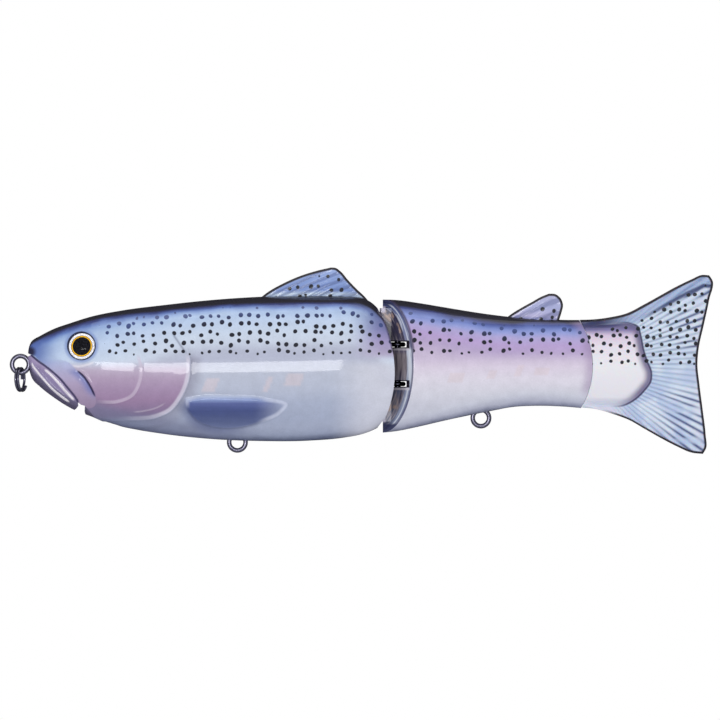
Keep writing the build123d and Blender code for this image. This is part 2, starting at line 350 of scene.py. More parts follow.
def closed_rim(bm: Mesh, dist: float) -> Mesh:
    """Merges doubles and closes what is open with flat faces in slot 1.

    Args:
        bm: the mesh, which is changed.
        dist: how near doubles are, in metres.

    Returns:
        The same mesh, facing outwards.
    """
    bmesh.ops.remove_doubles(bm, verts=bm.verts, dist=dist)
    bmesh.ops.dissolve_degenerate(bm, edges=bm.edges, dist=dist / 2)
    bmesh.ops.edgeloop_fill(bm, edges=[edge for edge in bm.edges if edge.is_boundary], mat_nr=1)
    bmesh.ops.recalc_face_normals(bm, faces=bm.faces)
    return bm


def merged(parts: Sequence[Mesh]) -> Mesh:
    """Puts several bmeshes into the first one."""
    for part in parts[1:]:
        mesh = bpy.data.meshes.new("part")
        part.to_mesh(mesh)
        part.free()
        parts[0].from_mesh(mesh)
        bpy.data.meshes.remove(mesh)
    return parts[0]


def to_object(bm: Mesh, name: str) -> bpy.types.Object:
    """Turns a bmesh into an object at the origin."""
    mesh = bpy.data.meshes.new(name)
    bm.to_mesh(mesh)
    bm.free()
    piece = bpy.data.objects.new(name, mesh)
    bpy.context.scene.collection.objects.link(piece)
    return piece


def carve(piece: bpy.types.Object, tool: Mesh, slot: int) -> None:
    """Cuts a tool out of a piece.

    Args:
        piece: the closed piece that is changed.
        tool: the closed tool, which is used up.
        slot: material slot of the cut faces.
    """
    cutter = to_object(in_slot(tool, slot), "tool")
    modifier = piece.modifiers.new("carve", "BOOLEAN")
    modifier.object = cutter
    modifier.operation = "DIFFERENCE"
    modifier.solver = "EXACT"
    modifier.material_mode = "INDEX"
    graph = bpy.context.evaluated_depsgraph_get()
    mesh = bpy.data.meshes.new_from_object(piece.evaluated_get(graph))
    piece.modifiers.clear()
    piece.data = mesh
    bpy.data.objects.remove(cutter)


def store(piece: bpy.types.Object, **numbers: np.ndarray) -> None:
    """Stores numbers per vertex, under their own names, for the materials to read."""
    for name, values in numbers.items():
        attribute = piece.data.attributes.new(name, "FLOAT", "POINT")
        attribute.data.foreach_set("value", np.asarray(values, np.float32))


def points_of(piece: bpy.types.Object) -> np.ndarray:
    """Returns the piece's vertices in millimetres, one row each."""
    flat = np.zeros(len(piece.data.vertices) * 3, np.float32)
    piece.data.vertices.foreach_get("co", flat)
    return flat.reshape(-1, 3) / MM


def dress(piece: bpy.types.Object, finishes: Sequence[bpy.types.Material], crease_deg: float = 40) -> None:
    """Gives a piece its finishes, in slot order, and smooth shading that breaks at creases."""
    held = piece.data.materials
    for place, finish in enumerate(finishes):
        if place < len(held):
            held[place] = finish
        else:
            held.append(finish)
    piece.data.shade_smooth()
    piece.data.set_sharp_from_angle(angle=math.radians(crease_deg))


def seat(piece: bpy.types.Object, body: str, nodes: Sequence[str] = ()) -> None:
    """Rides a piece on its body and hides the CAD nodes it stands for."""
    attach(piece, body)
    if nodes:
        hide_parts(*nodes)
    LOG.info("%s: %d faces on %s", piece.name, len(piece.data.polygons), body)


# ---- Node helpers ----------------------------------------------------------------------------
Link = bpy.types.NodeSocket
Amount = Link | float | tuple


def linear(code: str) -> tuple[float, float, float, float]:
    """Turns an RRGGBB code into a linear colour."""
    parts = [int(code[i : i + 2], 16) / 255 for i in (0, 2, 4)]
    return (*[p / 12.92 if p <= 0.04045 else ((p + 0.055) / 1.055) ** 2.4 for p in parts], 1.0)


class Graph:
    """A material's nodes, with short calls for the ones that are used."""

    def __init__(self, name: str) -> None:
        """Starts a material with one Principled shader."""
        self.material = bpy.data.materials.new(name)
        self.material.use_nodes = True
        self.tree = self.material.node_tree
        self.shader = self.tree.nodes["Principled BSDF"]
        self.place = self.node("TexCoord", {}).outputs["Object"]

    def feed(self, socket: Link, value: Amount) -> None:
        """Links a socket or sets its constant."""
        if isinstance(value, bpy.types.NodeSocket):
            self.tree.links.new(value, socket)
        else:
            socket.default_value = value

    def node(self, kind: str, inputs: dict[str | int, Amount], **options: object) -> bpy.types.Node:
        """Makes a node.

        Args:
            kind: its type, without the word that all types start with.
            inputs: what goes into its sockets, by name or number.
            options: its other settings.

        Returns:
            The node.
        """
        made = self.tree.nodes.new(f"ShaderNode{kind}")
        for name, value in options.items():
            setattr(made, name, value)
        for name, value in inputs.items():
            self.feed(made.inputs[name], value)
        return made

    def set(self, **values: Amount) -> "Graph":
        """Sets or links the shader's inputs; underscores stand for spaces."""
        for name, value in values.items():
            self.feed(self.shader.inputs[name.replace("_", " ")], value)
        return self

    def attribute(self, name: str) -> Link:
        """Returns a number stored on the mesh."""
        return self.node("Attribute", {}, attribute_name=name).outputs["Fac"]

    def math(self, operation: str, a: Amount, b: Amount = 0.0) -> Link:
        """Returns an arithmetic result of two values."""
        return self.node("Math", {0: a, 1: b}, operation=operation).outputs[0]

    def add(self, a: Amount, b: Amount) -> Link:
        """Returns the sum of two values."""
        return self.math("ADD", a, b)

    def both(self, *shares: Amount) -> Link:
        """Returns the product of the shares."""
        whole = shares[0]
        for share in shares[1:]:
            whole = self.math("MULTIPLY", whole, share)
        return whole

    def step(self, value: Link, low: float, high: float) -> Link:
        """Returns 0 at low, 1 at high and an eased step between; low may be over high."""
        ends = (0.0, 1.0) if low < high else (1.0, 0.0)
        inputs = {
            "Value": value, "From Min": min(low, high), "From Max": max(low, high), "To Min": ends[0],
            "To Max": ends[1],
        }
        return self.node("MapRange", inputs, interpolation_type="SMOOTHSTEP").outputs["Result"]

    def band(self, value: Link, low: float, full: float, fade: float, high: float) -> Link:
        """Returns 1 from full to fade, eased to 0 at low and at high."""
        return self.both(self.step(value, low, full), self.step(value, high, fade))

    def ramp(self, value: Link, stops: Sequence[tuple[float, str]]) -> Link:
        """Returns a colour picked by value from (place, RRGGBB) stops in the value's own unit."""
        low, high = stops[0][0], stops[-1][0]
        share = self.math("DIVIDE", self.math("SUBTRACT", value, low), high - low)
        node = self.node("ValToRGB", {"Fac": share})
        band = node.color_ramp.elements
        while len(band) < len(stops):
            band.new(0.5)
        for element, (place, code) in zip(band, stops):
            element.position = (place - low) / (high - low)
            element.color = linear(code)
        return node.outputs["Color"]

    def mix(self, share: Amount, a: Amount, b: Amount) -> Link:
        """Returns colour a turned into b by share."""
        return self.node("Mix", {0: share, 6: a, 7: b}, data_type="RGBA").outputs[2]

    def tint(self, ground: Amount, code: str, *shares: Amount) -> Link:
        """Returns the ground turned to an RRGGBB code by the product of the shares."""
        return self.mix(self.both(*shares), ground, linear(code))

    def noise(self, scale: float, detail: float, vector: Optional[Link] = None) -> Link:
        """Returns soft noise of about 0 to 1; scale is per metre."""
        inputs = {"Vector": vector or self.place, "Scale": scale, "Detail": detail}
        return self.node("TexNoise", inputs).outputs["Fac"]

    def swing(self, scale: float, detail: float, reach: float) -> Link:
        """Returns soft noise round 0, reach wide in all; scale is per metre."""
        return self.both(self.math("SUBTRACT", self.noise(scale, detail), 0.5), reach)

    def scaled(self, scale: Sequence[float]) -> Link:
        """Returns the object's coordinates, scaled."""
        return self.node("Mapping", {"Vector": self.place, "Scale": scale}).outputs["Vector"]

    def joined(self, u: Link, v: Link) -> Link:
        """Returns two numbers as one vector."""
        return self.node("CombineXYZ", {0: u, 1: v}).outputs[0]

    def cells(self, vector: Link, randomness: float) -> tuple[Link, Link]:
        """Returns the distance to the nearest flat cell's centre and a random number per cell."""
        inputs = {"Vector": vector, "Scale": 1.0, "Randomness": randomness}
        cells = self.node("TexVoronoi", inputs, voronoi_dimensions="2D")
        return cells.outputs["Distance"], self.node("SeparateColor", {0: cells.outputs["Color"]}).outputs[0]

    def axes(self) -> tuple[Link, Link, Link]:
        """Returns x, y and z of the object's coordinates, in millimetres."""
        node = self.node("SeparateXYZ", {0: self.place})
        return tuple(self.math("DIVIDE", node.outputs[i], MM) for i in range(3))

    def toned(self, colour: Link, value: Link) -> Link:
        """Returns the colour, lighter or darker by value."""
        return self.node("HueSaturation", {"Color": colour, "Value": value}).outputs["Color"]

    def bump(self, height: Link, depth: float) -> "Graph":
        """Adds fine relief of about this depth in millimetres to the shader."""
        relief = self.node("Bump", {"Height": height, "Distance": depth * MM, "Strength": 1.0})
        self.feed(self.shader.inputs["Normal"], relief.outputs["Normal"])
        return self


# ---- Finishes --------------------------------------------------------------------------------
Stops = tuple[tuple[float, str], ...]


@dataclass(frozen=True)
class SpotPattern:
    """Trout spots scattered over the upper flank."""

    pitch: float = 2.4            # mean distance between spots
    radius: float = 0.66          # of the largest spot
    smallest: float = 0.74        # the smallest spot, as a share of the largest
    wander: float = 0.3           # how far the rows bend, in pitches
    far_shift: float = 0.47       # how far the right side's rows are moved, in pitches
    randomness: float = 0.58
    ink: str = "14161f"

    def paint(self, g: Graph, ground: Link, presence: Link, ink: Optional[Link] = None) -> Link:
        """Lays the spots on a ground colour.

        Args:
            g: the material's graph.
            ground: colour under the spots.
            presence: 0 where there are no spots, 1 where they are full.
            ink: the spots' colour, if it isn't the pattern's own.

        Returns:
            The colour with spots.
        """
        x, y, z = g.axes()
        wobble = g.swing(300, 1, self.wander)
        moved = g.add(wobble, g.both(g.math("GREATER_THAN", y, 0.0), self.far_shift))
        u = g.add(g.math("DIVIDE", x, self.pitch), moved)
        v = g.add(g.math("DIVIDE", z, self.pitch), wobble)
        gap, random = g.cells(g.joined(u, v), self.randomness)
        size = g.add(g.both(random, 1 - self.smallest), self.smallest)
        edge = g.math("SUBTRACT", g.both(size, presence, self.radius / self.pitch), gap)
        return g.mix(g.step(edge, -0.02, 0.05), ground, ink or linear(self.ink))


@dataclass(frozen=True)
class TroutPaint:
    """Airbrushed trout paint under a clear gloss coat, with painted reflections, shade and highlights laid
    into its colour.
    """

    name: str
    flank: Stops                  # by depth under the back outline
    belly: Stops                  # by height over the belly outline
    spots: SpotPattern = SpotPattern()
    foil_glint_share: float = 0.45     # strength of the painted reflections, pink flashes off the foil inside
    ink: Stops = ((0.0, "30365a"), (3.4, "44548c"), (5.2, "2a3050"), (6.6, "14151f"), (30.0, "14151f"))

    def make(self) -> bpy.types.Material:
        """Returns the material."""
        g = Graph(self.name)
        x, _, z = g.axes()
        depth, belly = self.shifted_depth(g, x), g.attribute("belly")
        soft = g.swing(160, 3, 1.3)
        colour = self.under_belly(g, g.ramp(g.add(depth, soft), self.flank), x, z)
        low = g.ramp(g.add(belly, soft), self.belly)
        colour = g.mix(g.step(belly, self.belly[-1][0], 1.5), colour, low)
        colour = self.over_belly(g, colour, x, z)
        # painted reflections: pink flashes of light off the foil inside the shell
        colour = g.tint(colour, "dac8cd", g.attribute("foil_glint"), self.foil_glint_share)
        spotted = g.both(g.step(depth, 1.7, 2.9), g.step(z, 1.0, 3.8), g.attribute("spotted"))
        colour = self.spots.paint(g, colour, spotted, g.ramp(depth, self.ink))
        colour = g.tint(colour, "1d1a24", g.step(depth, 1.8, 1.0))
        rim = g.add(g.attribute("rim_gap"), g.step(z, 4.0, 1.0))
        colour = g.tint(colour, "3a2f4e", g.step(rim, 0.75, 0.25), 0.8)
        grain, mottle = g.swing(2600, 2, 0.16), g.swing(420, 4, 0.22)
        g.set(
            Base_Color=g.toned(colour, g.add(g.add(grain, mottle), 1.0)), Roughness=0.35,
            Specular_IOR_Level=0.2, Coat_Weight=1.0, Coat_Roughness=0.05, Coat_IOR=1.5,
        )
        return g.material

    def shifted_depth(self, g: Graph, x: Link) -> Link:
        """Returns the depth under the back, moved where the bands of colour rise or sink."""
        return g.attribute("depth")

    def under_belly(self, g: Graph, colour: Link, x: Link, z: Link) -> Link:
        """Returns the flank colour with what is laid on before the belly: paint and painted shade."""
        return colour

    def over_belly(self, g: Graph, colour: Link, x: Link, z: Link) -> Link:
        """Returns the colour with what is laid on after the belly: paint, painted shade and painted
        highlights.
        """
        return colour


@dataclass(frozen=True)
class RearPaint(TroutPaint):
    """Trout paint of the rear section, pale below, with mauve painted shade near the soft tail."""

    lower: Stops = (              # by height, on the lower flank
        (-16.0, "b2b5c7"), (-12.0, "c2c4d4"), (-7.5, "d2d2df"), (-3.5, "dcd7e5"), (-0.5, "d8cde0"),
        (2.0, "c9bad6"),
    )

    def shifted_depth(self, g: Graph, x: Link) -> Link:
        """Returns the depth under the back, whose bands rise towards the tail."""
        return g.add(g.attribute("depth"), g.both(g.step(x, 124.0, 134.0), 0.8))

    def under_belly(self, g: Graph, colour: Link, x: Link, z: Link) -> Link:
        """Returns the flank colour with the pale lower flank and the mauve painted shade at the rear end."""
        colour = g.mix(g.step(z, 3.4, 0.6), colour, g.ramp(z, self.lower))
        # mauve painted shade over the last few millimetres next to the soft tail
        end = g.both(g.step(g.attribute("end_gap"), 3.2, 0.3), g.step(z, -12.0, -6.0))
        return g.tint(colour, "9c86ac", end, g.step(x, 130.0, 134.0), 0.55)


@dataclass(frozen=True)
class FrontPaint(TroutPaint):
    """Trout paint of the front section, with the head's colours, its painted shade and highlights, and the
    violet at the joint.
    """

    violet: Stops = (             # by height, at the joint
        (0.0, "c6c0d6"), (2.0, "b6adca"), (4.0, "a99fc2"), (6.0, "a095c2"), (9.0, "7f80b2"), (13.0, "6a78aa"),
    )
    mauve: Stops = (              # by height, on the cheek
        (-17.5, "64607a"), (-14.5, "7d7294"), (-12.0, "857195"), (-9.0, "987da0"), (-6.0, "a58dae"),
        (-3.5, "b09bb8"), (0.0, "c3b8cd"),
    )
    upper_lip: Stops = (          # by height
        (-11.0, "93809f"), (-8.0, "a18fae"), (-5.0, "ab9cbc"), (-2.5, "b0a9cc"), (0.0, "b2b8dc"),
        (2.0, "a3b4de"),
    )
    # jaw: by distance below the mouth line; painted shadow of the upper lip at 0, painted highlights on the
    # lip ridges at 0.45 and 3.2, the purple groove between
    jaw: Stops = ((0.0, "5a4c78"), (0.45, "a596bb"), (1.3, "9486ae"), (2.2, "9387b0"), (3.2, "a79dbd"))
    chin: Stops = ((0.0, "3a344e"), (0.8, "524c68"), (2.0, "615b7a"), (3.0, "7d7596"))
    fin_blue_and_highlight: Stops = (           # by height, on the side fin; the palest top stops are a painted highlight along its upper edge
        (-17.0, "69749a"), (-14.5, "4e5a86"), (-12.0, "3c4a80"), (-10.0, "53609a"), (-9.0, "8a9ccc"),
        (-8.2, "bcc8e6"),
    )

    def shifted_depth(self, g: Graph, x: Link) -> Link:
        """Returns the depth under the back, stretched over the head."""
        depth = g.add(g.attribute("depth"), g.both(g.step(x, 36.0, 16.0), 0.5))
        beyond = g.math("MAXIMUM", g.math("SUBTRACT", depth, 1.7), 0.0)
        depth = g.math("SUBTRACT", depth, g.both(beyond, g.step(x, 44.0, 20.0), 0.36))
        return g.math("SUBTRACT", depth, g.both(g.step(x, 50.0, 64.0), 0.35))

    def over_belly(self, g: Graph, colour: Link, x: Link, z: Link) -> Link:
        """Returns the colour with the head's parts and then the joint's violet."""
        for part in (self._gill_cover, self._mouth, self._side_fin, self._lines_and_eye):
            colour = part(g, colour, x, z)
        colour = g.tint(colour, "d2d3e0", g.step(x, 78.0, 90.0), g.step(z, 2.0, -1.0), 0.7)
        return g.mix(g.both(g.step(x, 83.0, 92.5), g.step(z, 0.5, 3.0)), colour, g.ramp(z, self.violet))

    def _gill_cover(self, g: Graph, colour: Link, x: Link, z: Link) -> Link:
        """Returns the colour with the mauve cheek, painted highlights along the gill rim and the cheek arc,
        painted shadow under the gill rim and painted shade under the side fin.
        """
        gill, arc, low = g.attribute("gill"), g.attribute("arc"), g.step(z, 3.0, 1.0)
        cheek = g.both(g.step(gill, -0.5, 1.5), g.step(z, 1.4, -1.8), g.step(x, 6.0, 12.0))
        colour = g.mix(cheek, colour, g.ramp(z, self.mauve))
        for code, line, start, full, share in (
            # painted highlight along the gill rim
            ("dcd6e6", g.band(gill, 0.0, 0.25, 0.8, 1.3), 24.0, 32.0, 0.55),
            # painted shadow under the gill rim
            ("858399", g.band(gill, -4.2, -0.4, -0.15, 0.0), 30.0, 36.0, 0.55),
            # painted highlight along the cheek arc
            ("d0c2d6", g.band(arc, 0.0, 0.25, 0.7, 1.2), 18.0, 24.0, 0.5),
        ):
            colour = g.tint(colour, code, line, low, g.step(x, start, full), share)
        # painted shade on the lower flank under the side fin
        under_fin_shade = g.both(g.step(x, 66.0, 44.0), g.step(g.attribute("belly"), 6.0, 2.5), g.step(x, 12.0, 20.0))
        return g.tint(colour, "6a6f8e", under_fin_shade, 0.6)

    def _mouth(self, g: Graph, colour: Link, x: Link, z: Link) -> Link:
        """Returns the colour with the lips, painted shade on the maxilla by its rear crease, the jaw with its
        painted lip shadow and highlights, the snout and its dark tip.
        """
        mouth, nose, belly = g.attribute("mouth"), g.attribute("nose_gap"), g.attribute("belly")
        cheek = g.attribute("cheek")
        ahead = g.step(cheek, 0.15, -0.15)
        colour = g.mix(g.both(ahead, g.step(z, 2.0, 0.0)), colour, g.ramp(z, self.upper_lip))
        # painted shade on the maxilla along its rear crease
        maxilla_shade = g.both(g.step(cheek, -2.6, -0.2), ahead, g.band(z, -9.5, -6.0, -2.4, -0.6))
        colour = g.tint(colour, "6674b8", maxilla_shade, 0.75)
        jaw = g.mix(g.step(belly, 3.0, 2.1), g.ramp(mouth, self.jaw), g.ramp(belly, self.chin))
        colour = g.mix(g.step(mouth, -0.1, 0.15), colour, jaw)
        colour = g.tint(colour, "5068ae", g.step(nose, 9.5, 1.5), g.step(mouth, 0.0, -0.5), 0.9)
        return g.tint(colour, "1e1f42", g.step(nose, 2.6, 1.2), g.step(mouth, 0.0, -0.3))

    def _side_fin(self, g: Graph, colour: Link, x: Link, z: Link) -> Link:
        """Returns the colour with the side fin, the painted highlight along its rim and the painted shade
        round its root.
        """
        fin = g.attribute("side_fin")
        # painted shade round the side fin's root
        root = g.both(g.step(fin, -2.8, 0.3), g.step(x, 62.0, 47.0), g.step(z, -8.4, -11.0))
        colour = g.tint(colour, "5c668f", root, 0.75)
        blue = g.both(g.step(fin, -0.5, 0.9), g.step(x, 71.0, 59.0))
        colour = g.mix(blue, colour, g.ramp(z, self.fin_blue_and_highlight))
        # painted highlight along the fin's rim, at its front and rear ends
        front = g.both(g.step(x, 46.0, 43.5), g.step(z, -11.5, -9.5))
        ends = g.math("MAXIMUM", g.step(x, 60.0, 64.0), front)
        return g.tint(colour, "cfd5ea", g.band(fin, -0.2, 0.3, 0.5, 1.3), ends, 0.6)

    def _lines_and_eye(self, g: Graph, colour: Link, x: Link, z: Link) -> Link:
        """Returns the colour with painted shade in the creases, painted highlights on the ridges and the
        eye's surround.
        """
        relief, eye = g.attribute("relief"), g.attribute("eye_gap")
        # painted shade in the moulded creases and painted highlights on the ridges
        colour = g.tint(colour, "342e5a", g.step(relief, -0.04, -0.35), 0.9)
        colour = g.tint(colour, "f2edf5", g.step(relief, 0.08, 0.36), 0.9)
        colour = g.tint(colour, "7f95cc", g.step(eye, 1.3, 0.3), 0.8)
        return g.tint(colour, "141a3c", g.step(eye, 0.3, 0.1))


@dataclass(frozen=True)
class ClearPlastic:
    """Bare, unpainted shell plastic with a smoky tint, as inside the lure."""

    name: str = "bare_clear_plastic"
    streaks: Stops = ((0.3, "4d4860"), (0.5, "8a849e"), (0.62, "b5a89f"), (0.75, "c6c2d2"))
    transmission: float = 0.55

    def make(self) -> bpy.types.Material:
        """Returns the material."""
        g = Graph(self.name)
        colour = g.ramp(g.noise(1.0, 3, g.scaled((380, 380, 90))), self.streaks)
        g.set(Base_Color=colour, Roughness=0.12, IOR=1.49, Coat_Weight=0.6)
        g.set(Transmission_Weight=self.transmission)
        return g.material


@dataclass(frozen=True)
class WedgePlastic:
    """The rear section's bare wedge: a pale wall band with painted highlights inside the lip, and the smoky
    hollow within, darkened with painted shade.
    """

    name: str = "smoky_wedge_plastic"
    hollow: Stops = (             # by height, inside the band: painted shade of the hollow seen through the clear plastic, with its smoky tint
        (-16.0, "4c5270"), (-12.5, "6d7490"), (-9.0, "8b8798"), (-6.8, "687090"), (-3.8, "8f8c9e"),
        (-1.0, "9d939c"), (2.4, "a0969f"), (3.4, "76708a"), (7.0, "4f4c66"), (12.0, "42405e"),
        (16.0, "35406c"),
    )
    wall: Stops = (               # by height, in the band: the wall's edge, pale with a painted highlight
        (-17.0, "6f7896"), (-12.0, "8e97b6"), (-7.0, "8b93b2"), (-5.6, "a9b2cd"), (-2.0, "cbd3e7"),
        (3.6, "d5dcee"), (4.6, "7f7f9f"), (9.0, "8890b8"), (13.0, "5b689c"), (16.0, "313d70"),
    )

    def make(self) -> bpy.types.Material:
        """Returns the material."""
        g = Graph(self.name)
        x, _, z = g.axes()
        gap = g.attribute("lip_gap")
        tall = g.noise(1.0, 2, g.joined(g.both(gap, 1.5), g.both(z, 0.14)))
        shaded_hollow = g.tint(g.ramp(z, self.hollow), "bdb3bd", g.step(tall, 0.5, 0.66), 0.7)
        shaded_hollow = g.tint(shaded_hollow, "3a3652", g.step(tall, 0.48, 0.34), 0.75)
        ends = g.math("MAXIMUM", g.step(z, -6.5, -8.5), g.step(z, 6.8, 8.4))
        amber = g.both(g.step(g.noise(300, 2), 0.5, 0.62), g.band(gap, 1.8, 2.2, 2.8, 3.6), ends)
        shaded_hollow = g.tint(shaded_hollow, "d6b6a2", amber, 0.75)
        wall = g.tint(g.ramp(z, self.wall), "e6ebf6", g.step(tall, 0.5, 0.62), 0.6)
        wall = g.tint(wall, "56608c", g.step(tall, 0.46, 0.34), 0.5)
        colour = g.mix(g.step(gap, 1.8, 1.4), shaded_hollow, wall)
        # painted highlight along the rounded lip
        colour = g.tint(colour, "e2e8f4", g.band(gap, 0.55, 0.75, 0.85, 1.05), 0.7)
        colour = g.tint(colour, "4c4a6c", g.step(gap, 0.45, 0.25), 0.8)
        # painted shade round each slot, and a painted highlight just under it
        colour = g.tint(colour, "1f1b28", g.step(g.attribute("slot_shade"), 0.35, 0.75))
        colour = g.tint(colour, "d6d0dc", g.step(g.attribute("slot_highlight"), 0.3, 0.8), 0.8)
        height = g.math("ABSOLUTE", z)
        # painted highlight on the wedge's nose near its top and bottom
        colour = g.tint(colour, "c9c4da", g.step(x, 93.6, 93.1), g.band(height, 13.0, 13.5, 14.7, 15.0))
        colour = g.tint(colour, "33385e", g.step(height, 14.8, 15.6))
        colour = g.tint(colour, "b9b4c8", g.step(x, 120.0, 124.0))
        g.set(Base_Color=colour, Roughness=0.35, Specular_IOR_Level=0.3)
        g.set(Coat_Weight=0.35, Coat_Roughness=0.06)
        return g.material


@dataclass(frozen=True)
class SoftPlastic:
    """Translucent painted soft plastic of the tail."""

    name: str = "soft_tail_plastic"
    pearl: Stops = (              # by height, on the thick root
        (-10.2, "a9adc4"), (-8.4, "e2e1ea"), (0.0, "eceaf0"), (4.5, "e8e0ec"), (7.4, "d9c9e0"),
        (8.8, "8a7fb0"),
        (10.0, "514f80"),
    )
    spots: SpotPattern = SpotPattern(pitch=2.15, radius=0.6)

    def make(self) -> bpy.types.Material:
        """Returns the material."""
        g = Graph(self.name)
        x, _, z = g.axes()
        edge, root, upper = (g.attribute(name) for name in ("edge_gap", "root_gap", "upper_gap"))
        colour = g.mix(g.step(root, 0.0, 0.5), self._fan(g, x, z), g.ramp(z, self.pearl))
        colour = g.tint(colour, "d6dbec", g.step(x, 158.0, 149.0), g.step(z, -8.5, -10.0), 0.85)
        # mauve painted shade on the root's backward-facing bevel
        colour = g.tint(colour, "706890", g.band(root, -0.1, 0.1, 0.5, 2.6), g.step(x, 152.0, 158.5), 0.9)
        colour = g.tint(colour, "38305a", g.band(root, -0.35, -0.1, 0.1, 0.35), g.step(x, 150.0, 156.0), 0.9)
        colour = g.tint(colour, "93a9d2", g.step(upper, 3.6, 2.6), g.step(root, 0.2, -0.2), 0.7)
        colour = g.tint(colour, "2c3a6c", g.band(upper, 2.0, 2.6, 2.9, 3.6), g.step(x, 157.0, 166.0), 0.9)
        colour = g.tint(colour, "363a66", g.step(x, 158.0, 148.0), g.step(upper, 3.4, 1.0))
        colour = self.spots.paint(g, colour, g.both(g.step(z, -1.6, 1.2), g.step(upper, 2.2, 3.0)))
        outlined = g.math("MAXIMUM", g.step(x, 148.0, 154.0), g.step(z, 0.0, 2.0))
        colour = g.tint(colour, "17121c", g.step(edge, 0.75, 0.42), outlined)
        g.set(
            Base_Color=colour, Roughness=0.3, IOR=1.45, Subsurface_Weight=0.25, Subsurface_Scale=0.002,
            Coat_Weight=0.5, Coat_Roughness=0.12,
        )
        return g.material

    def _fan(self, g: Graph, x: Link, z: Link) -> Link:
        """Returns the pale blade with the dark streaks between its rays."""
        ground = g.mix(g.step(z, 6.0, -8.0), linear("c9d8ec"), linear("b7c8e6"))
        ground = g.tint(ground, "d3dff0", g.step(g.noise(170, 2), 0.4, 0.65))
        off_middle = g.step(g.math("ABSOLUTE", g.add(z, 3.0)), 2.0, 6.0)
        broken = g.step(g.noise(300, 1, g.scaled((0.15, 1, 1))), 0.34, 0.52)
        late = g.both(g.step(x, 159.0, 170.0), broken, off_middle, 0.75)
        groove = g.math("POWER", g.math("SUBTRACT", 1.0, g.attribute("ray")), 0.6)
        return g.tint(ground, "34477e", groove, g.add(late, 0.2))


@dataclass(frozen=True)
class FinPaint:
    """Paint of the moulded back fins: pale blue with rays, spots and a dark edge."""

    name: str
    base: Stops                   # by share of the fin's height
    spots: SpotPattern = SpotPattern(pitch=2.7, radius=0.6)

    def make(self) -> bpy.types.Material:
        """Returns the material."""
        g = Graph(self.name)
        edge = g.attribute("edge_gap")
        colour = g.ramp(g.attribute("rise"), self.base)
        colour = g.tint(colour, "42518c", g.step(g.attribute("ray"), 0.75, 0.1), 0.45)
        colour = self.spots.paint(g, colour, g.step(edge, 0.9, 1.8))
        colour = g.tint(colour, "1d1518", g.step(edge, 0.75, 0.45))
        g.set(Base_Color=colour, Roughness=0.3, Coat_Weight=1.0, Coat_Roughness=0.05)
        return g.material


@dataclass(frozen=True)
class Metal:
    """Plain metal with fine drawing marks."""

    name: str
    colour: str
    roughness: float
    grain: float = 0.012          # depth of its marks

    def make(self) -> bpy.types.Material:
        """Returns the material."""
        g = Graph(self.name)
        marks = g.noise(2600, 4)
        worn = g.tint(linear(self.colour), "e8e8f2", marks, 0.2)
        g.set(Base_Color=worn, Metallic=1.0, Roughness=g.add(g.both(marks, 0.12), self.roughness))
        return g.bump(marks, self.grain).material


@dataclass(frozen=True)
class EyeFoil:
    """Printed eye disc: black pupil, thin amber ring, pearl white ring and a dark rim, with a faint painted
    glow.
    """

    name: str = "printed_eye_disc"
    pupil: float = 2.26           # radius of each ring
    amber: float = 2.58
    white: float = 3.27

    def make(self) -> bpy.types.Material:
        """Returns the material."""
        g = Graph(self.name)
        radius = g.attribute("radius")
        colour = g.tint(linear("ffffff"), "d9dae6", g.step(g.noise(1500, 3), 0.5, 0.75))
        colour = g.tint(colour, "1c1f40", g.step(radius, self.white - 0.05, self.white + 0.1))
        colour = g.tint(colour, "3a2a20", g.step(radius, self.amber + 0.16, self.amber + 0.04))
        colour = g.tint(colour, "ffc01c", g.step(radius, self.amber + 0.02, self.amber - 0.08))
        colour = g.tint(colour, "0b0a0e", g.step(radius, self.pupil + 0.08, self.pupil - 0.05))
        g.set(Base_Color=colour, Roughness=0.5, Specular_IOR_Level=0.0)
        # a faint glow of painted light, making up for the light the dome keeps off the disc
        g.set(Emission_Color=colour, Emission_Strength=0.28)
        return g.material


@dataclass(frozen=True)
class ClearResin:
    """Clear cast resin of the eye domes."""

    name: str = "clear_resin"

    def make(self) -> bpy.types.Material:
        """Returns the material."""
        g = Graph(self.name)
        g.set(Base_Color=(1, 1, 1, 1), Roughness=0.02, IOR=1.25, Transmission_Weight=1.0)
        return g.material


FRONT_PAINT = FrontPaint(
    "front_trout_paint",
    (
        (0.0, "1d1a24"), (1.1, "272539"), (1.7, "343d78"), (2.3, "5f7abc"), (2.9, "93addc"), (3.7, "b0c6e8"),
        (5.5, "c0d2ee"), (9.0, "cbd8eb"), (11.2, "cad4e6"), (13.2, "b7bdd1"), (15.0, "b3b8ce"),
        (18.0, "b9bfd1"),
        (23.0, "b7bed2"), (27.0, "a7b0c8"), (31.0, "a0a9c2"), (35.0, "929bb6"),
    ),
    ((0.0, "4d5670"), (0.5, "616a86"), (1.5, "8d96b0"), (3.5, "a4acc4"), (6.0, "b2b9ce")),
)
REAR_PAINT = RearPaint(
    "rear_trout_paint",
    (
        (0.0, "241c28"), (1.4, "2c2b48"), (2.0, "3f4886"), (2.7, "5b6cb0"), (3.5, "8090d0"), (4.4, "99a2dc"),
        (5.6, "b2a8d8"), (7.5, "b8a1d2"), (9.5, "b7a5cc"), (11.4, "c1b1d1"), (13.5, "cbbed6"),
        (17.0, "d6d0e1"),
        (20.0, "d4d2e0"), (24.0, "cbccd9"),
    ),
    ((0.0, "6c7086"), (0.6, "8a8ea6"), (1.5, "b0b3c6"), (3.2, "c6c9d8"), (6.0, "d0d0dd")),
    SpotPattern(pitch=2.55, radius=0.66),
    foil_glint_share=0.4,
)
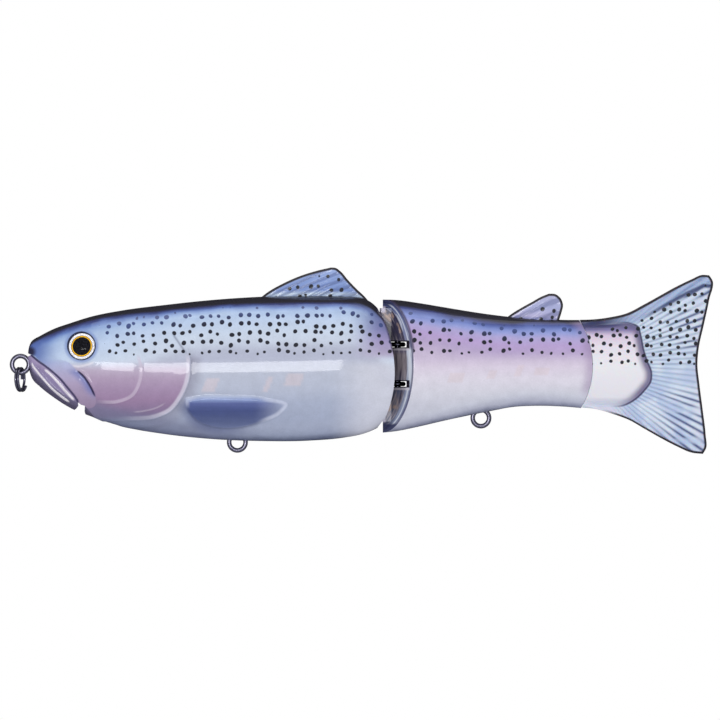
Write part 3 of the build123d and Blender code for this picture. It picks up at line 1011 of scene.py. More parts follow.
DORSAL_PAINT = FinPaint(
    "back_fin_paint", ((0.0, "9fb8e2"), (0.12, "c3d6ee"), (0.25, "7f99d6"), (0.6, "8aa3dc"), (1.0, "9db3e6")),
)
ADIPOSE_PAINT = FinPaint(
    "small_fin_paint", ((0.0, "6a74b4"), (0.15, "b8b4dc"), (0.5, "aab0dc"), (1.0, "b4b4d8")),
)
WIRE = Metal("nickelled_wire", "6c6979", 0.14)
LEAD = Metal("cast_ballast", "5d5f66", 0.45, 0.03)


# ---- The two body sections -------------------------------------------------------------------
@dataclass
class BodySurface:
    """The skin of one body section: an ellipse at each station."""

    stations: tuple[tuple[float, float, float, float], ...]   # x, top, bottom, half width

    def __post_init__(self) -> None:
        """Fits the three courses."""
        self.top, self.bottom, self.half = (Course(self.stations, k) for k in (1, 2, 3))

    def skin(self, x: np.ndarray, angle: np.ndarray, lift: "float | np.ndarray" = 0.0) -> np.ndarray:
        """Returns points of the left flank.

        Args:
            x: places along the body.
            angle: turn from the back (0) over the flank to the belly (pi).
            lift: height over the plain skin, along its normal.

        Returns:
            One (x, y, z) row for each point.
        """
        top, bottom, half = self.top(x), self.bottom(x), self.half(x)
        rise, middle = (top - bottom) / 2, (top + bottom) / 2
        out, up = np.sin(angle), np.cos(angle)
        norm = np.hypot(out * rise, up * half) + 1e-9
        across = np.where(out < 1e-6, 0.0, half * out + lift * out * rise / norm)
        return np.column_stack([x, -across, middle + rise * up + lift * up * half / norm])

    def flank(self, x: float, z: float) -> float:
        """Returns the half width at one point of the side view."""
        one = np.array([x])
        rise, middle = (self.top(one) - self.bottom(one)) / 2, (self.top(one) + self.bottom(one)) / 2
        return float((self.half(one) * np.sqrt(1 - ((z - middle) / rise) ** 2))[0])

    def cavity(self, first: float, last: float, wall: float) -> Mesh:
        """Returns the closed hollow of the whole section, drawn in by the wall."""
        def place(u: np.ndarray, v: np.ndarray) -> np.ndarray:
            x, turn = first + (last - first) * u, math.tau * v
            top, bottom = self.top(x) - wall, self.bottom(x) + wall
            height = (top + bottom) / 2 + (top - bottom) / 2 * np.cos(turn)
            return np.column_stack([x, (self.half(x) - wall) * np.sin(turn), height])
        return closed_rim(sheet(40, 64, place), 1e-7)


@dataclass
class FinPlate:
    """A fin moulded in two halves: rays fan from its base to its trailing edge."""

    lead: tuple[Point, ...]       # leading edge, base to tip
    trail: tuple[Point, ...]      # trailing edge, tip to foot
    base: tuple[Point, ...]       # inside the body, leading edge to foot
    last: tuple[Point, ...]       # base to foot, at the rear
    half: float                   # half thickness at the base
    edge_half: float              # half thickness at the rim
    rays: int
    ray_depth: float
    cells: tuple[int, int] = (110, 90)
    height: float = 7.0           # over the back, for the paint's bands
    fan_centre: Point = (-12.0, -6.0)     # where the painted rays meet, from the front of the base
    painted_rays: float = 9.0     # waves of paint to the radian, for each moulded ray

    def half_mesh(self) -> Mesh:
        """Returns the left half of the fin, closed on the middle plane, in slot 2."""
        lead, trail, base, last = (Line(p) for p in (self.lead, self.trail, self.base, self.last))

        def place(s: np.ndarray, t: np.ndarray) -> np.ndarray:
            x, z = stretched(lead, last, base.at(s), trail, s, t).T
            gap = gap_to((self.lead, self.trail), x, z)
            body = self.edge_half + (self.half - self.edge_half) * smooth(0, 5, gap)
            wave = 0.5 + 0.5 * np.cos(math.tau * self.rays * s)
            groove = self.ray_depth * (1 - wave) ** 2 * smooth(0.6, 1.6, gap) * smooth(0.02, 0.2, t)
            out = np.maximum(body * rounded(gap, self.edge_half) - groove, 0)
            border = (s < 1e-6) | (s > 1 - 1e-6) | (t > 1 - 1e-6) | (t < 1e-6)
            return np.column_stack([x, -np.where(border, 0, out), z])
        return in_slot(closed_rim(sheet(*self.cells, place), 2e-6), 2)


@dataclass
class SectionShell:
    """What the two body sections share: skin, hollow, back fin, and how a half shell is made."""

    surface: BodySurface
    hollow: tuple[float, float]   # where it starts and ends
    fin: FinPlate
    name: str
    wall: float = 1.8

    def moulded(self, body: Mesh, tools: Sequence[Mesh], extras: Sequence[Mesh]) -> bpy.types.Object:
        """Makes the left half shell.

        Args:
            body: the closed, solid half body.
            tools: what is cut out of it besides the hollow.
            extras: closed mouldings that are added with their own slots.

        Returns:
            The half shell.
        """
        piece = to_object(body, f"painted_{self.name}_left")
        carve(piece, merged([self.surface.cavity(*self.hollow, self.wall), *tools]), slot=1)
        whole = bmesh.new()
        whole.from_mesh(piece.data)
        merged([whole, *extras, self.fin.half_mesh()])
        whole.to_mesh(piece.data)
        whole.free()
        return piece

    def store_common(self, piece: bpy.types.Object, lip: Line) -> np.ndarray:
        """Stores the numbers that the paint of both sections and of the back fin reads.

        Args:
            piece: the half shell.
            lip: the rim of the painted skin at the joint.

        Returns:
            The piece's vertices, one row each.
        """
        points = points_of(piece)
        x, _, z = points.T
        fin, top = self.fin, self.surface.top(x)
        centre = np.array(fin.lead[0]) + fin.fan_centre
        way = np.arctan2(z - centre[1], x - centre[0])
        store(
            piece, depth=top - z, belly=z - self.surface.bottom(x), rim_gap=abs(lip.nearest(x, z)[0]),
            rise=np.clip((z - top + 0.4) / fin.height, 0, 1), edge_gap=gap_to((fin.lead, fin.trail), x, z),
            ray=0.5 + 0.5 * np.cos(way * fin.rays * fin.painted_rays),
        )
        return points


@dataclass
class EyeSeat:
    """Where the left eye sits in the head."""

    surface: BodySurface
    x: float = 15.6
    z: float = 4.75
    tilt_deg: float = 12          # forward and upward
    radius: float = 3.5
    depth: float = 1.6

    def matrix(self) -> Matrix:
        """Returns its place: the origin on the skin and the Z axis out of the head."""
        tilt = math.radians(self.tilt_deg)
        out = Vector((-math.sin(tilt) * math.cos(tilt), -math.cos(tilt) ** 2, math.sin(tilt))).normalized()
        across = Vector((0, 0, 1)).cross(out).normalized()
        turn = Matrix((across, out.cross(across), out)).transposed().to_4x4()
        return Matrix.Translation(Vector((self.x, -self.surface.flank(self.x, self.z), self.z)) * MM) @ turn

    def socket(self) -> Mesh:
        """Returns the round tool that cuts the eye's socket."""
        low, high = -self.depth, 12
        return turned(((0, low), (self.radius, low), (self.radius, high), (0, high)), self.matrix())


@dataclass
class FrontSection:
    """The front half shells, with the head's relief, the joint's socket and half the back fin each."""

    shell: SectionShell
    eye: EyeSeat
    apex_x: float = 91.5          # lip on the middle plane
    slope: float = 0.484          # how far the lip moves back for each mm outwards
    channel: tuple[float, float] = (96.5, 5.2)    # place and radius of the round channel of the joint
    nose_x: float = 1.9
    nose_z: float = 3.2
    nose_round: float = 1.3
    lip_share: float = 0.97       # share of the grid that is skin; the rest is the socket's flank
    jaw_inset: float = 0.55
    gill_step: float = 0.34
    gill_crease: float = 0.16
    cheek_step: float = 0.2
    ray_height: float = 0.07      # of the side fin's rays
    throat_notch: tuple[Point, ...] = (
        (14.75, -9.75), (15.5, -10.3), (16.5, -10.6), (16.4, -12.0), (16.6, -12.7), (17.3, -13.3),
        (17.3, -16.0), (12.0, -16.0), (12.7, -12.0), (13.6, -11.85), (14.3, -11.3), (14.8, -10.6),
    )
    lip_notch: tuple[Point, ...] = ((0.5, 3.0), (2.0, 2.8), (2.7, 2.45), (2.1, 2.1), (0.5, 1.9))
    mouth: Line = field(default_factory=lambda: Line((
        (1.6, 2.5), (2.8, 2.35), (4.65, 0.8), (6.5, -0.5), (8.1, -1.8), (10.1, -3.6), (11.95, -5.8),
        (13.8, -8.1), (14.9, -9.8), (16.5, -10.7), (19.0, -13.6),
    )))
    cheek_front: Line = field(default_factory=lambda: Line((
        (9.0, 1.6), (12.5, 0.4), (14.2, -1.3), (16.3, -3.2), (17.9, -5.7), (19.3, -8.7), (19.0, -10.6),
        (16.0, -11.4),
    )))
    gill: Line = field(default_factory=lambda: Line((
        (42.6, 5.6), (43.5, 0.7), (43.3, -3.2), (41.6, -7.9), (38.2, -12.2), (35.2, -13.6), (25.7, -14.4),
        (17.0, -14.4),
    )))
    cheek: Line = field(default_factory=lambda: Line((
        (30.6, 2.4), (31.4, -0.9), (31.0, -4.5), (28.9, -8.3), (25.0, -10.0), (19.8, -10.1),
    )))
    side_fin: Plate = Plate(
        (
            (42.2, -8.6), (46.0, -7.9), (54.0, -7.9), (62.0, -8.4), (68.4, -10.4), (66.4, -12.8),
            (62.4, -14.7),
            (57.5, -16.2), (50.0, -16.4), (44.8, -14.4), (42.4, -11.2),
        ),
        shoulder=1.0, height=0.75,
    )
    beads: tuple[Bead, ...] = (
        Bead(                     # the mouth's line
            (
                (2.6, 2.5), (4.65, 0.8), (6.5, -0.5), (8.1, -1.8), (10.1, -3.6), (11.95, -5.8), (13.8, -8.1),
                (14.9, -9.8),
            ),
            -0.5, 0.26, 0.02, tinted=1.0,
        ),
        Bead(                     # ridge along the upper lip
            ((5.6, -0.9), (7.2, -2.1), (8.9, -3.8), (11.0, -6.3), (13.2, -8.6), (14.2, -9.6)),
            0.4, 0.4, tinted=1.0,
        ),
        Bead(((4.0, 0.0), (6.3, -2.9), (9.4, -6.1), (12.3, -8.8)), -0.45, 0.7),
        Bead(                     # ridge along the jaw
            ((2.9, 1.3), (3.1, -0.2), (4.2, -1.7), (6.0, -3.9), (8.3, -6.4), (10.6, -8.3), (13.2, -10.1)),
            0.45, 0.3, tinted=1.0,
        ),
        Bead(((14.0, -1.1), (16.3, -3.2), (17.9, -5.7), (19.4, -8.9)), -0.5, 0.24, 0.2, tinted=1.0),
        Bead(((14.6, -1.0), (16.9, -3.0), (18.5, -5.6), (19.9, -8.9)), 0.2, 0.25, 0.2, tinted=0.6),
        Bead(((13.4, -3.0), (15.3, -5.0), (16.8, -7.4), (18.0, -9.8)), 0.25, 0.9, 0.25),
        Bead(((12.2, 0.1), (14.7, -0.5), (17.0, -0.1), (20.0, 1.1)), 0.35, 0.5, 0.25, tinted=0.7),
        Bead(((38.0, 9.2), (39.8, 6.6), (41.6, 4.0), (43.2, 1.7)), -0.25, 0.4, 0.3, tinted=0.8),
        Bead(((27.0, -12.2), (31.0, -12.0), (35.0, -11.0), (38.6, -8.8)), 0.3, 0.4, 0.25, tinted=0.6),
        Bead(((22.0, -14.6), (30.0, -15.6), (37.0, -14.6), (41.5, -11.4)), 0.3, 0.8, 0.25),
    )
    patches: tuple[Patch, ...] = (
        Patch(48.6, -5.3, 3.9, 4.0), Patch(63.3, -5.1, 1.9, 4.4), Patch(70.0, -3.9, 4.8, 3.6, 0.3),
    )

    def lift(self, x: np.ndarray, z: np.ndarray) -> np.ndarray:
        """Returns the moulded relief over the plain skin."""
        total = sum(bead.lift(x, z) for bead in self.beads)
        gill, share = self.gill.nearest(x, z)
        cover = self.gill_step * smooth(-0.25, 0.15, -gill) * smooth(4.5, 0.3, np.maximum(-gill, 0))
        crease = self.gill_crease * smooth(1.6, 0, np.maximum(gill, 0)) * smooth(-0.2, 0.2, gill)
        total = total + both_ends(0.12, share) * (cover - crease)
        cheek, share = self.cheek.nearest(x, z)
        raised = self.cheek_step * smooth(-0.2, 0.2, -cheek) * smooth(3.0, 0.3, np.maximum(-cheek, 0))
        total = total + both_ends(0.2, share) * raised
        jaw, _ = self.mouth.nearest(x, z)
        total = total - self.jaw_inset * smooth(0, 0.5, -jaw) * smooth(17.2, 16.6, x)
        fin = self.side_fin.inside(x, z)
        total = total + self.side_fin.height * smooth(-0.1, self.side_fin.shoulder, fin) * smooth(72, 60, x)
        ray = np.cos((z + 8.2) * 3.4 + (x - 42) * 0.12)
        return total + self.ray_height * ray * smooth(0.8, 1.8, fin) * smooth(70, 60, x)

    def place(self, u: np.ndarray, v: np.ndarray) -> np.ndarray:
        """Lays the half body out: nose at u = 0, skin up to lip_share, then the socket's flank."""
        surface, angle = self.shell.surface, math.pi * v
        lip = np.full_like(u, 95.0)
        for _ in range(14):
            lip = self.apex_x - self.slope * surface.skin(lip, angle)[:, 1]
        along = np.interp(np.minimum(u / self.lip_share, 1), (0, 0.07, 0.72, 1), (0, 0.014, 0.48, 1))
        x = self.nose_x + (lip - self.nose_x) * along
        plain = surface.skin(x, angle)
        points = surface.skin(x, angle, self.lift(x, plain[:, 2]) * smooth(0.01, 0.12, np.sin(angle)))
        t = np.clip((x - self.nose_x) / self.nose_round, 0, 1)
        share = (1 - (1 - t) ** 3) ** (1 / 3)
        middle = (surface.top(x) + surface.bottom(x)) / 2
        inward = np.clip((u - self.lip_share) / (1 - self.lip_share), 0, 1)
        points[:, 1] *= share * (1 - inward)
        points[:, 2] = middle + (points[:, 2] - middle) * share
        points[:, 0] = np.where(inward > 0, self.apex_x - self.slope * points[:, 1], points[:, 0])
        return points

    def build(self) -> bpy.types.Object:
        """Returns the left half shell."""
        body = closed_rim(sheet(320, 170, self.place, (-1, self.lip_share)), 2e-6)
        notches = [prism(notch, -FAR, 1) for notch in (self.throat_notch, self.lip_notch)]
        return self.shell.moulded(body, [column(*self.channel), *notches, self.eye.socket()], [])

    def store(self, piece: bpy.types.Object) -> None:
        """Stores what the paint reads."""
        share = np.linspace(0, 1, 24)
        rim = self.place(np.full_like(share, self.lip_share), share)
        x, _, z = self.shell.store_common(piece, Line(rim[:, [0, 2]])).T
        eye_gap = np.hypot(x - self.eye.x, z - self.eye.z) - self.eye.radius
        nose_gap = np.hypot(x - self.nose_x, (z - self.nose_z) * 1.3)
        store(
            piece, mouth=-self.mouth.nearest(x, z)[0], gill=-self.gill.nearest(x, z)[0],
            cheek=self.cheek_front.nearest(x, z)[0], arc=-self.cheek.nearest(x, z)[0],
            side_fin=self.side_fin.inside(x, z), eye_gap=eye_gap, nose_gap=nose_gap,
            spotted=smooth(19, 23, x) * smooth(4.0, 6.0, np.hypot(x - 17.0, z - 4.0)),
            foil_glint=np.maximum.reduce([patch.cover(x, z) for patch in self.patches]),
            # strength of painted shade (below 0) and painted highlight (above 0) from the beads
            relief=sum(bead.tinted * bead.lift(x, z) for bead in self.beads),
        )


@dataclass
class RearSection:
    """The rear half shells, with the joint's bare wedge, the tang and half the small fin each."""

    shell: SectionShell
    apex_x: float = 92.7          # where the wedge's flanks would meet
    slope: float = 0.871          # how far a flank runs back for each mm outwards
    pivot_x: float = 96.5
    rib: Point = (4.6, 2.0)       # radius of the wedge's nose round the pivot, and its half width
    rib_z: Point = (-14.6, 14.4)
    slot_z: Point = (5.1, -5.0)
    slot_half: float = 0.7
    slot_x: Point = (80.0, 98.75)
    slot_shade_half: float = 1.0      # half height of the painted shade round each slot
    slot_shade_end: float = 99.5
    end: tuple[float, float, float] = (124.9, -0.3, 21.5)     # rear rim: centre and radius
    skin_u: Point = (0.14, 0.96)  # shares of the grid where the skin starts and ends
    band: float = 1.7             # width of the pale wall band inside the lip
    sunk: float = 0.45            # depth of the flank inside the band
    tang: tuple[Point, ...] = (
        (140.0, -6.6), (140.0, 7.6), (150.0, 7.0), (156.5, 4.4), (156.5, -4.2), (150.0, -6.2),
    )
    tang_half: float = 1.0
    patches: tuple[Patch, ...] = (
        Patch(111.5, -3.4, 4.4, 3.0, 0.3), Patch(120.6, -2.6, 2.6, 2.6), Patch(127.6, -1.6, 2.2, 3.4),
        Patch(133.4, -1.8, 4.2, 2.4, 0.3),
    )

    def lip(self, angle: np.ndarray) -> np.ndarray:
        """Returns where the painted skin starts along x."""
        x = np.full_like(angle, 99.0)
        for _ in range(30):
            x = 0.5 * x + 0.5 * (self.apex_x - self.slope * self.shell.surface.skin(x, angle)[:, 1])
        return x

    def place(self, u: np.ndarray, v: np.ndarray) -> np.ndarray:
        """Lays the half body out: the wedge's flank, the skin and then the end face."""
        surface, angle = self.shell.surface, math.pi * v
        start, stop = self.skin_u
        first, last = self.lip(angle), np.full_like(u, 146.0)
        centre_x, centre_z, radius = self.end
        for _ in range(10):
            last = centre_x + np.sqrt(radius**2 - (surface.skin(last, angle)[:, 2] - centre_z) ** 2)
        along = np.clip((u - start) / (stop - start), 0, 1)
        points = surface.skin(first + (last - first) * along, angle)
        flank = np.clip(u / start, 0, 1)
        gap = (1 - flank) * np.abs(points[:, 1]) * self.slope
        points[:, 1] *= flank * np.clip((1 - u) / (1 - stop), 0, 1)
        sunk = self.sunk * smooth(self.band, self.band + 0.5, gap) * smooth(0, 0.3, flank)
        points[:, 0] = np.where(flank < 1, self.apex_x - self.slope * points[:, 1] + sunk, points[:, 0])
        return points

    def build(self) -> bpy.types.Object:
        """Returns the left half shell."""
        body = closed_rim(sheet(240, 150, self.place, self.skin_u), 2e-6)
        front, back = self.slot_x
        slots = []
        for low, high in ((z - self.slot_half, z + self.slot_half) for z in self.slot_z):
            slots.append(prism(((front, low), (back, low), (back, high), (front, high)), -FAR, 1))
        extras = [prism(self.tang, -self.tang_half, 0), *self.rib_blocks()]
        return self.shell.moulded(body, slots, [in_slot(extra, 1) for extra in extras])

    def rib_blocks(self) -> list[Mesh]:
        """Returns the wedge's rounded nose between the slots, left half."""
        cuts = [self.rib_z[1]]
        for z in self.slot_z:
            cuts += [z + self.slot_half, z - self.slot_half]
        cuts.append(self.rib_z[0])
        radius, half = self.rib
        sweep = np.linspace(0, math.asin(half / radius), 25)
        plan = [(self.pivot_x - radius * math.cos(a), -radius * math.sin(a)) for a in sweep]
        plan += [(self.pivot_x, -half), (self.pivot_x, 0)]
        return [prism(plan, low, high, upright=True) for high, low in zip(cuts[::2], cuts[1::2])]

    def near_slot(self, x: np.ndarray, z: np.ndarray, drop: float, half: float) -> np.ndarray:
        """Returns 1 in a level band at each slot, this far under its middle, and 0 elsewhere."""
        bands = [smooth(half + 0.15, half - 0.1, abs(z - level + drop)) for level in self.slot_z]
        return np.maximum.reduce(bands) * smooth(self.slot_shade_end + 0.2, self.slot_shade_end - 0.1, x)

    def store(self, piece: bpy.types.Object) -> None:
        """Stores what the paint reads."""
        angle = np.linspace(0, math.pi, 60)[::3]
        lip = Line(self.shell.surface.skin(self.lip(angle), angle)[:, [0, 2]])
        x, _, z = self.shell.store_common(piece, lip).T
        store(
            piece, lip_gap=abs(lip.nearest(x, z)[0]), spotted=smooth(92, 94, x),
            end_gap=self.end[2] - np.hypot(x - self.end[0], z - self.end[1]),
            foil_glint=np.maximum.reduce([patch.cover(x, z) for patch in self.patches]),
            slot_shade=self.near_slot(x, z, 0.0, self.slot_shade_half),
            slot_highlight=self.near_slot(x, z, self.slot_shade_half + 0.25, 0.3),
        )


# ---- Soft tail -------------------------------------------------------------------------------
@dataclass
class SoftTail:
    """The soft tail: a thick pearl root that slides on the tang, and a thin rayed blade."""

    upper: tuple[Point, ...] = (
        (143.4, 11.4), (147.2, 11.55), (151.3, 12.1), (155.4, 13.1), (159.5, 15.2), (163.6, 17.5),
        (167.7, 19.8), (171.8, 21.8), (174.4, 22.9), (176.2, 22.8),
    )
    trail: tuple[Point, ...] = (
        (176.2, 22.8), (177.0, 21.6), (176.2, 16.5), (174.8, 10.0), (173.5, 4.0), (173.2, 0.0), (173.7, -5.0),
        (174.6, -12.0), (175.3, -18.0), (175.4, -21.5), (174.6, -22.9),
    )
    lower: tuple[Point, ...] = (
        (143.2, -11.0), (147.2, -11.5), (151.3, -12.7), (155.4, -14.2), (159.5, -16.5), (163.6, -18.8),
        (167.7, -20.9), (171.8, -22.6), (174.6, -22.9),
    )
    root: Plate = Plate(
        (
            (141.0, 10.4), (150.0, 10.5), (156.6, 10.4), (158.0, 9.6), (158.6, 7.7), (159.5, 3.4),
            (160.3, 0.9),
            (161.4, -2.0), (161.3, -4.1), (159.5, -6.8), (157.3, -8.9), (154.5, -10.4), (149.0, -10.6),
            (141.0, -10.4),
        ),
        shoulder=1.5,
    )
    front: tuple[float, float, float] = (124.9, -0.3, 21.56)  # front rim: centre and radius
    widths: tuple[Point, ...] = ((142, 3.9), (147.5, 3.6), (152, 3.1), (156.5, 2.4), (161.5, 1.5))
    root_middle: Point = (-0.1, 11.6)     # height of the root's middle, and half its height
    blade_half: float = 0.8
    rim_half: float = 0.35
    fan_centre: Point = (142.8, 0.1)
    pitch: float = math.radians(2.9)      # angle from ray to ray
    groove: float = 0.15
    cells: tuple[int, int] = (230, 200)
    tang: tuple[Point, ...] = (
        (135.0, -7.0), (135.0, 8.0), (150.2, 7.3), (156.8, 4.6), (156.8, -4.4), (150.1, -6.5),
    )
    tang_half: float = 1.25

    def half_width(self, x: np.ndarray, z: np.ndarray) -> np.ndarray:
        """Returns the half thickness at each point of the side view."""
        rim = gap_to((self.upper, self.trail, self.lower), x, z)
        blade = self.rim_half + (self.blade_half - self.rim_half) * smooth(0, 4, rim)
        blade = blade * rounded(rim, self.rim_half)
        middle, rise = self.root_middle
        thick = Course(self.widths)(x) * np.sqrt(np.clip(1 - ((z - middle) / rise) ** 2, 0, 1))
        share = np.maximum(smooth(-0.05, self.root.shoulder, self.root.inside(x, z)), smooth(149, 144, x))
        return blade + (np.maximum(thick, blade) - blade) * share * smooth(0, 0.5, rim)

    def fan(self, x: np.ndarray, z: np.ndarray) -> np.ndarray:
        """Returns the ray pattern, 0 in a groove and 1 on a ray."""
        way = np.arctan2(z - self.fan_centre[1], x - self.fan_centre[0])
        return 1 - (0.5 + 0.5 * np.cos(way * math.tau / self.pitch)) ** 4

    def flank(self, side: Side) -> Place:
        """Returns the layout of one flank."""
        upper, trail, lower = Line(self.upper), Line(self.trail), Line(self.lower)

        def place(s: np.ndarray, t: np.ndarray) -> np.ndarray:
            level = self.upper[0][1] + (self.lower[0][1] - self.upper[0][1]) * s
            centre_x, centre_z, radius = self.front
            front = np.column_stack([centre_x + np.sqrt(radius**2 - (level - centre_z) ** 2), level])
            x, z = stretched(upper, lower, front, trail, s, t).T
            half = self.half_width(x, z)
            outside = smooth(0.3, -0.6, self.root.inside(x, z)) * smooth(150, 154, x)
            half = half - self.groove * (1 - self.fan(x, z)) * outside * np.minimum(half / 0.5, 1)
            edge = (s < 1e-6) | (s > 1 - 1e-6) | (t > 1 - 1e-6)
            return np.column_stack([x, side.value * np.where(edge, 0, np.maximum(half, 0)), z])
        return place

    def build(self, finish: bpy.types.Material) -> None:
        """Makes the tail, closed, with the pocket for the tang."""
        left, right = (sheet(*self.cells, self.flank(side)) for side in Side)
        bmesh.ops.reverse_faces(right, faces=right.faces)
        piece = to_object(in_slot(closed_rim(merged([left, right]), 2e-6), 0), "soft_tail")
        carve(piece, prism(self.tang, -self.tang_half, self.tang_half), slot=0)
        x, _, z = points_of(piece).T
        store(
            piece, edge_gap=gap_to((self.upper, self.trail, self.lower), x, z),
            upper_gap=gap_to((self.upper,), x, z), root_gap=self.root.inside(x, z), ray=self.fan(x, z),
        )
        dress(piece, (finish,))
        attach(piece, "tail_root")
        piece.parent = None
        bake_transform(piece)
        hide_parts("tail_sleeve", "tail_fin")
        LOG.info("%s: %d faces", piece.name, len(piece.data.polygons))


# ---- Eyes ------------------------------------------------------------------------------------
@dataclass
class Eye:
    """One printed disc under a clear dome."""

    side: Side
    seat_at: Matrix               # of the left eye
    radius: float = 3.46
    floor: float = -1.0           # heights over the skin
    disc: float = 0.4             # its thickness
    top: float = 1.0
    rise: float = 1.3             # of the dome's cap
    disc_rings: int = 40
    dome_rings: int = 14

    def profiles(self) -> tuple[list[Point], list[Point]]:
        """Returns the (radius, height) outlines of the disc and of the dome."""
        face = self.floor + self.disc
        disc = [(self.radius * k / self.disc_rings, face) for k in range(self.disc_rings + 1)]
        disc += [(self.radius, self.floor), (0, self.floor)]
        curve = (self.radius**2 + self.rise**2) / (2 * self.rise)
        brow = math.asin(self.radius / curve)
        dome = [(0, face + 0.03), (self.radius - 0.05, face + 0.03), (self.radius, face + 0.08)]
        for k in range(self.dome_rings, -1, -1):
            turn = brow * k / self.dome_rings
            dome.append((curve * math.sin(turn), self.top - curve + curve * math.cos(turn)))
        return disc, dome

    def build(self, foil: bpy.types.Material, resin: bpy.types.Material) -> None:
        """Makes the disc and the dome and seats both."""
        mirror = Vector((1, -self.side.value, 1))
        centre = np.array(self.seat_at.translation * mirror)
        axis = np.array(self.seat_at.col[2].to_3d() * mirror)
        parts = zip(self.profiles(), ("eye_disc", "eye_dome"), (foil, resin), ("eye_disc", "clear_dome"))
        for profile, name, finish, slot in parts:
            bm = turned(profile, self.seat_at)
            if self.side is Side.RIGHT:
                flipped(bm)
            piece = to_object(bm, f"printed_{name}_{self.side.label}")
            gap = points_of(piece) * MM - centre
            store(piece, radius=np.linalg.norm(gap - np.outer(gap @ axis, axis), axis=1) / MM)
            dress(piece, (finish,), 35)
            piece.visible_shadow = name != "eye_dome"
            seat(piece, "front_section", (f"{name}_{self.side.label}",))


# ---- Hardware --------------------------------------------------------------------------------
def dress_nodes(names: Sequence[str], finish: bpy.types.Material) -> None:
    """Gives CAD nodes one finish and smooth shading."""
    for name in names:
        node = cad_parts[name]
        node.data.materials.clear()
        dress(node, (finish,), 35)


# ---- Studio ----------------------------------------------------------------------------------
@dataclass
class Studio:
    """White room, long soft strips of light and a level camera."""

    middle: Point = (86.87, 1.13)
    width: float = 184.2          # of the view
    room: float = 1.0             # strength of the even light
    mirror: float = 0.55          # strength of the room in reflections

    def build(self) -> None:
        """Makes world, lights and camera."""
        scene = bpy.context.scene
        scene.view_settings.view_transform = "Standard"
        self._world(scene)
        self._strip("flank_strip", (-16, -560, 18), (330, 98), 5.5)
        self._strip("far_strip", (-16, 560, 18), (330, 98), 1.2)
        self._strip("top_panel", (80, -60, 420), (420, 160), 0.9)
        camera = bpy.data.objects.new("camera", bpy.data.cameras.new("camera"))
        camera.data.type = "ORTHO"
        camera.data.ortho_scale = self.width * MM
        camera.data.clip_end = 5.0
        camera.location = Vector((self.middle[0], -500, self.middle[1])) * MM
        camera.rotation_euler = (math.radians(90), 0, 0)
        scene.collection.objects.link(camera)
        scene.camera = camera

    def _world(self, scene: bpy.types.Scene) -> None:
        """White to the camera, grey in reflections and even light for the rest."""
        world = bpy.data.worlds.new("studio")
        scene.world = world
        world.use_nodes = True
        tree = world.node_tree
        tree.nodes.clear()
        new, link = tree.nodes.new, tree.links.new
        path = new("ShaderNodeLightPath")
        seen, glossy, rest = (new("ShaderNodeBackground") for _ in range(3))
        for node, strength in ((seen, 1.0), (glossy, self.mirror), (rest, self.room)):
            node.inputs["Color"].default_value = (1, 1, 1, 1)
            node.inputs["Strength"].default_value = strength
        way, half, fade = (new(f"ShaderNode{kind}") for kind in ("SeparateXYZ", "Math", "ValToRGB"))
        half.operation = "MULTIPLY_ADD"
        half.inputs[1].default_value = half.inputs[2].default_value = 0.5
        for element, (place, tone) in zip(fade.color_ramp.elements, ((0.0, 1.0), (0.9, 0.08))):
            element.position = place
            element.color = (0.78 * tone, 0.80 * tone, tone, 1.0)
        link(new("ShaderNodeTexCoord").outputs["Generated"], way.inputs[0])
        link(way.outputs[1], half.inputs[0])
        link(half.outputs[0], fade.inputs["Fac"])
        link(fade.outputs["Color"], glossy.inputs["Color"])
        shown = rest
        for ray, shader in (("Is Glossy Ray", glossy), ("Is Camera Ray", seen)):
            mix = new("ShaderNodeMixShader")
            for socket, source in zip(mix.inputs, (path.outputs[ray], shown.outputs[0], shader.outputs[0])):
                link(source, socket)
            shown = mix
        link(shown.outputs[0], new("ShaderNodeOutputWorld").inputs[0])

    def _strip(self, name: str, at: Sequence[float], size: Point, strength: float) -> None:
        """Makes one glowing panel that faces the lure's middle."""
        light = bpy.data.lights.new(name, "AREA")
        light.shape = "RECTANGLE"
        light.size, light.size_y = size[0] * MM, size[1] * MM
        light.energy = strength * size[0] * size[1] * MM * MM * math.pi
        lamp = bpy.data.objects.new(name, light)
        lamp.location = Vector(at) * MM
        aim = Vector((self.middle[0], 0, 0)) * MM - lamp.location
        lamp.rotation_euler = aim.to_track_quat("-Z", "Y").to_euler()
        lamp.visible_camera = False
        lamp.visible_diffuse = False
        bpy.context.scene.collection.objects.link(lamp)


# ---- The lure --------------------------------------------------------------------------------
FRONT_SURFACE = BodySurface((
    (1.9, 4.9, -1.2, 1.5), (3.0, 6.1, -3.6, 2.5), (5.0, 7.3, -5.7, 3.6), (8.3, 9.0, -8.3, 5.0),
    (12.5, 10.5, -11.0, 6.3), (18.3, 12.3, -13.4, 7.8), (26.5, 13.9, -16.0, 9.2), (36.7, 15.2, -17.8, 10.3),
    (49.0, 16.5, -19.1, 10.9), (61.0, 17.3, -19.6, 10.9), (74.0, 17.6, -19.5, 10.5),
    (83.0, 17.5, -18.7, 10.1),
    (87.5, 17.0, -17.8, 9.8), (90.0, 15.7, -16.9, 9.62), (93.0, 12.6, -15.3, 9.42), (97.0, 7.6, -12.6, 9.15),
))
REAR_SURFACE = BodySurface((
    (91.0, 16.6, -17.6, 9.5), (96.0, 16.5, -17.1, 9.4), (102.0, 15.7, -15.9, 8.8), (108.0, 14.7, -14.5, 8.0),
    (114.0, 13.7, -13.2, 7.1), (120.0, 12.8, -12.0, 6.1), (126.0, 12.1, -10.9, 5.2),
    (132.0, 11.7, -10.6, 4.6),
    (139.0, 11.4, -10.8, 4.1), (147.5, 11.4, -11.6, 3.7),
))
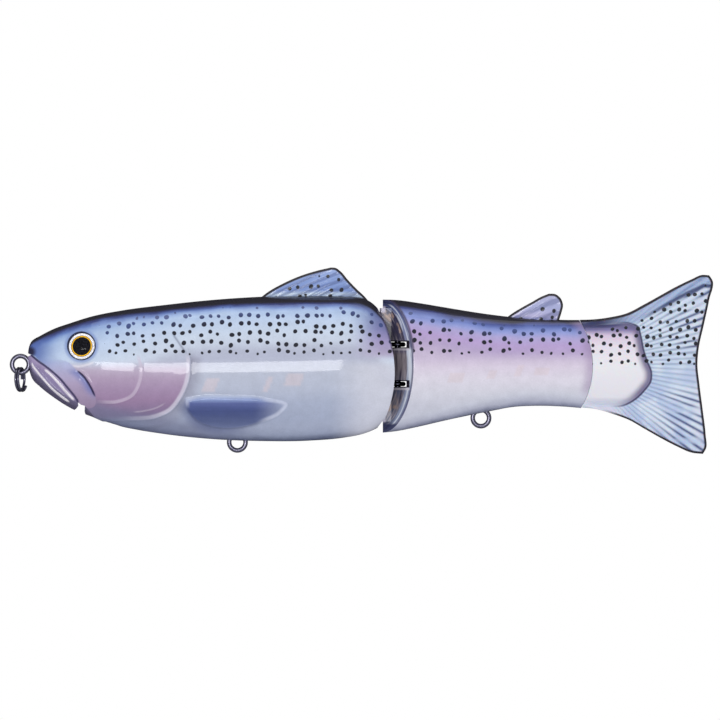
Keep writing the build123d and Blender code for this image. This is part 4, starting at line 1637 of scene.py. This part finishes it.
DORSAL_FIN = FinPlate(
    lead=((60.6, 16.4), (63.3, 18.5), (67.4, 20.8), (71.5, 22.6), (75.6, 23.9), (79.4, 24.8)),
    trail=((79.4, 24.8), (80.6, 24.7), (81.8, 23.9), (83.8, 21.6), (86.0, 19.3), (88.2, 17.2), (89.8, 15.2)),
    base=((60.6, 16.4), (66.0, 14.6), (76.0, 13.6), (86.0, 13.0)), last=((86.0, 13.0), (89.8, 15.2)),
    half=1.3, edge_half=0.5, rays=12, ray_depth=0.16,
)
ADIPOSE_FIN = FinPlate(
    lead=((123.6, 11.4), (125.6, 12.9), (128.2, 14.5), (130.9, 16.0), (133.2, 17.3), (135.2, 18.1)),
    trail=((135.2, 18.1), (136.8, 18.0), (138.2, 16.9), (138.8, 15.3), (138.4, 13.2),
        (137.8, 11.3), (137.6, 10.4)),
    base=((123.6, 11.4), (127.0, 10.0), (131.0, 9.4), (136.0, 9.2)), last=((136.0, 9.2), (137.6, 10.4)),
    half=1.0, edge_half=0.45, rays=6, ray_depth=0.14, cells=(70, 60),
)
WIRES = (
    "line_tie", "split_ring", "front_hook_hanger", "rear_hook_hanger", "hinge_eye_upper", "hinge_eye_lower",
    "hinge_pin",
)
WEIGHTS = ("front_fore_keel_weight", "front_aft_keel_weight", "rear_keel_weight")


def main() -> None:
    """Builds the lure's looks in order and frames them."""
    logging.basicConfig(level=logging.INFO, format="%(message)s")
    bare, eye = ClearPlastic().make(), EyeSeat(FRONT_SURFACE)
    front = FrontSection(SectionShell(FRONT_SURFACE, (22.0, 83.0), DORSAL_FIN, "front_shell"), eye)
    rear = RearSection(SectionShell(REAR_SURFACE, (102.5, 138.0), ADIPOSE_FIN, "rear_shell"))
    for section, body, finishes in (
        (front, "front_section", (FRONT_PAINT.make(), bare, DORSAL_PAINT.make())),
        (rear, "rear_section", (REAR_PAINT.make(), WedgePlastic().make(), ADIPOSE_PAINT.make())),
    ):
        left = section.build()
        copy = bmesh.new()
        copy.from_mesh(left.data)
        right = to_object(flipped(copy), left.name.replace("left", "right"))
        for half in (left, right):
            section.store(half)
            dress(half, finishes)
            seat(half, body, (half.name.removeprefix("painted_"),))
    SoftTail().build(SoftPlastic().make())
    foil, resin = EyeFoil().make(), ClearResin().make()
    for side in Side:
        Eye(side, eye.matrix()).build(foil, resin)
    dress_nodes(WIRES, WIRE.make())
    dress_nodes(WEIGHTS, LEAD.make())
    Studio().build()


if __name__ == "__main__":
    main()
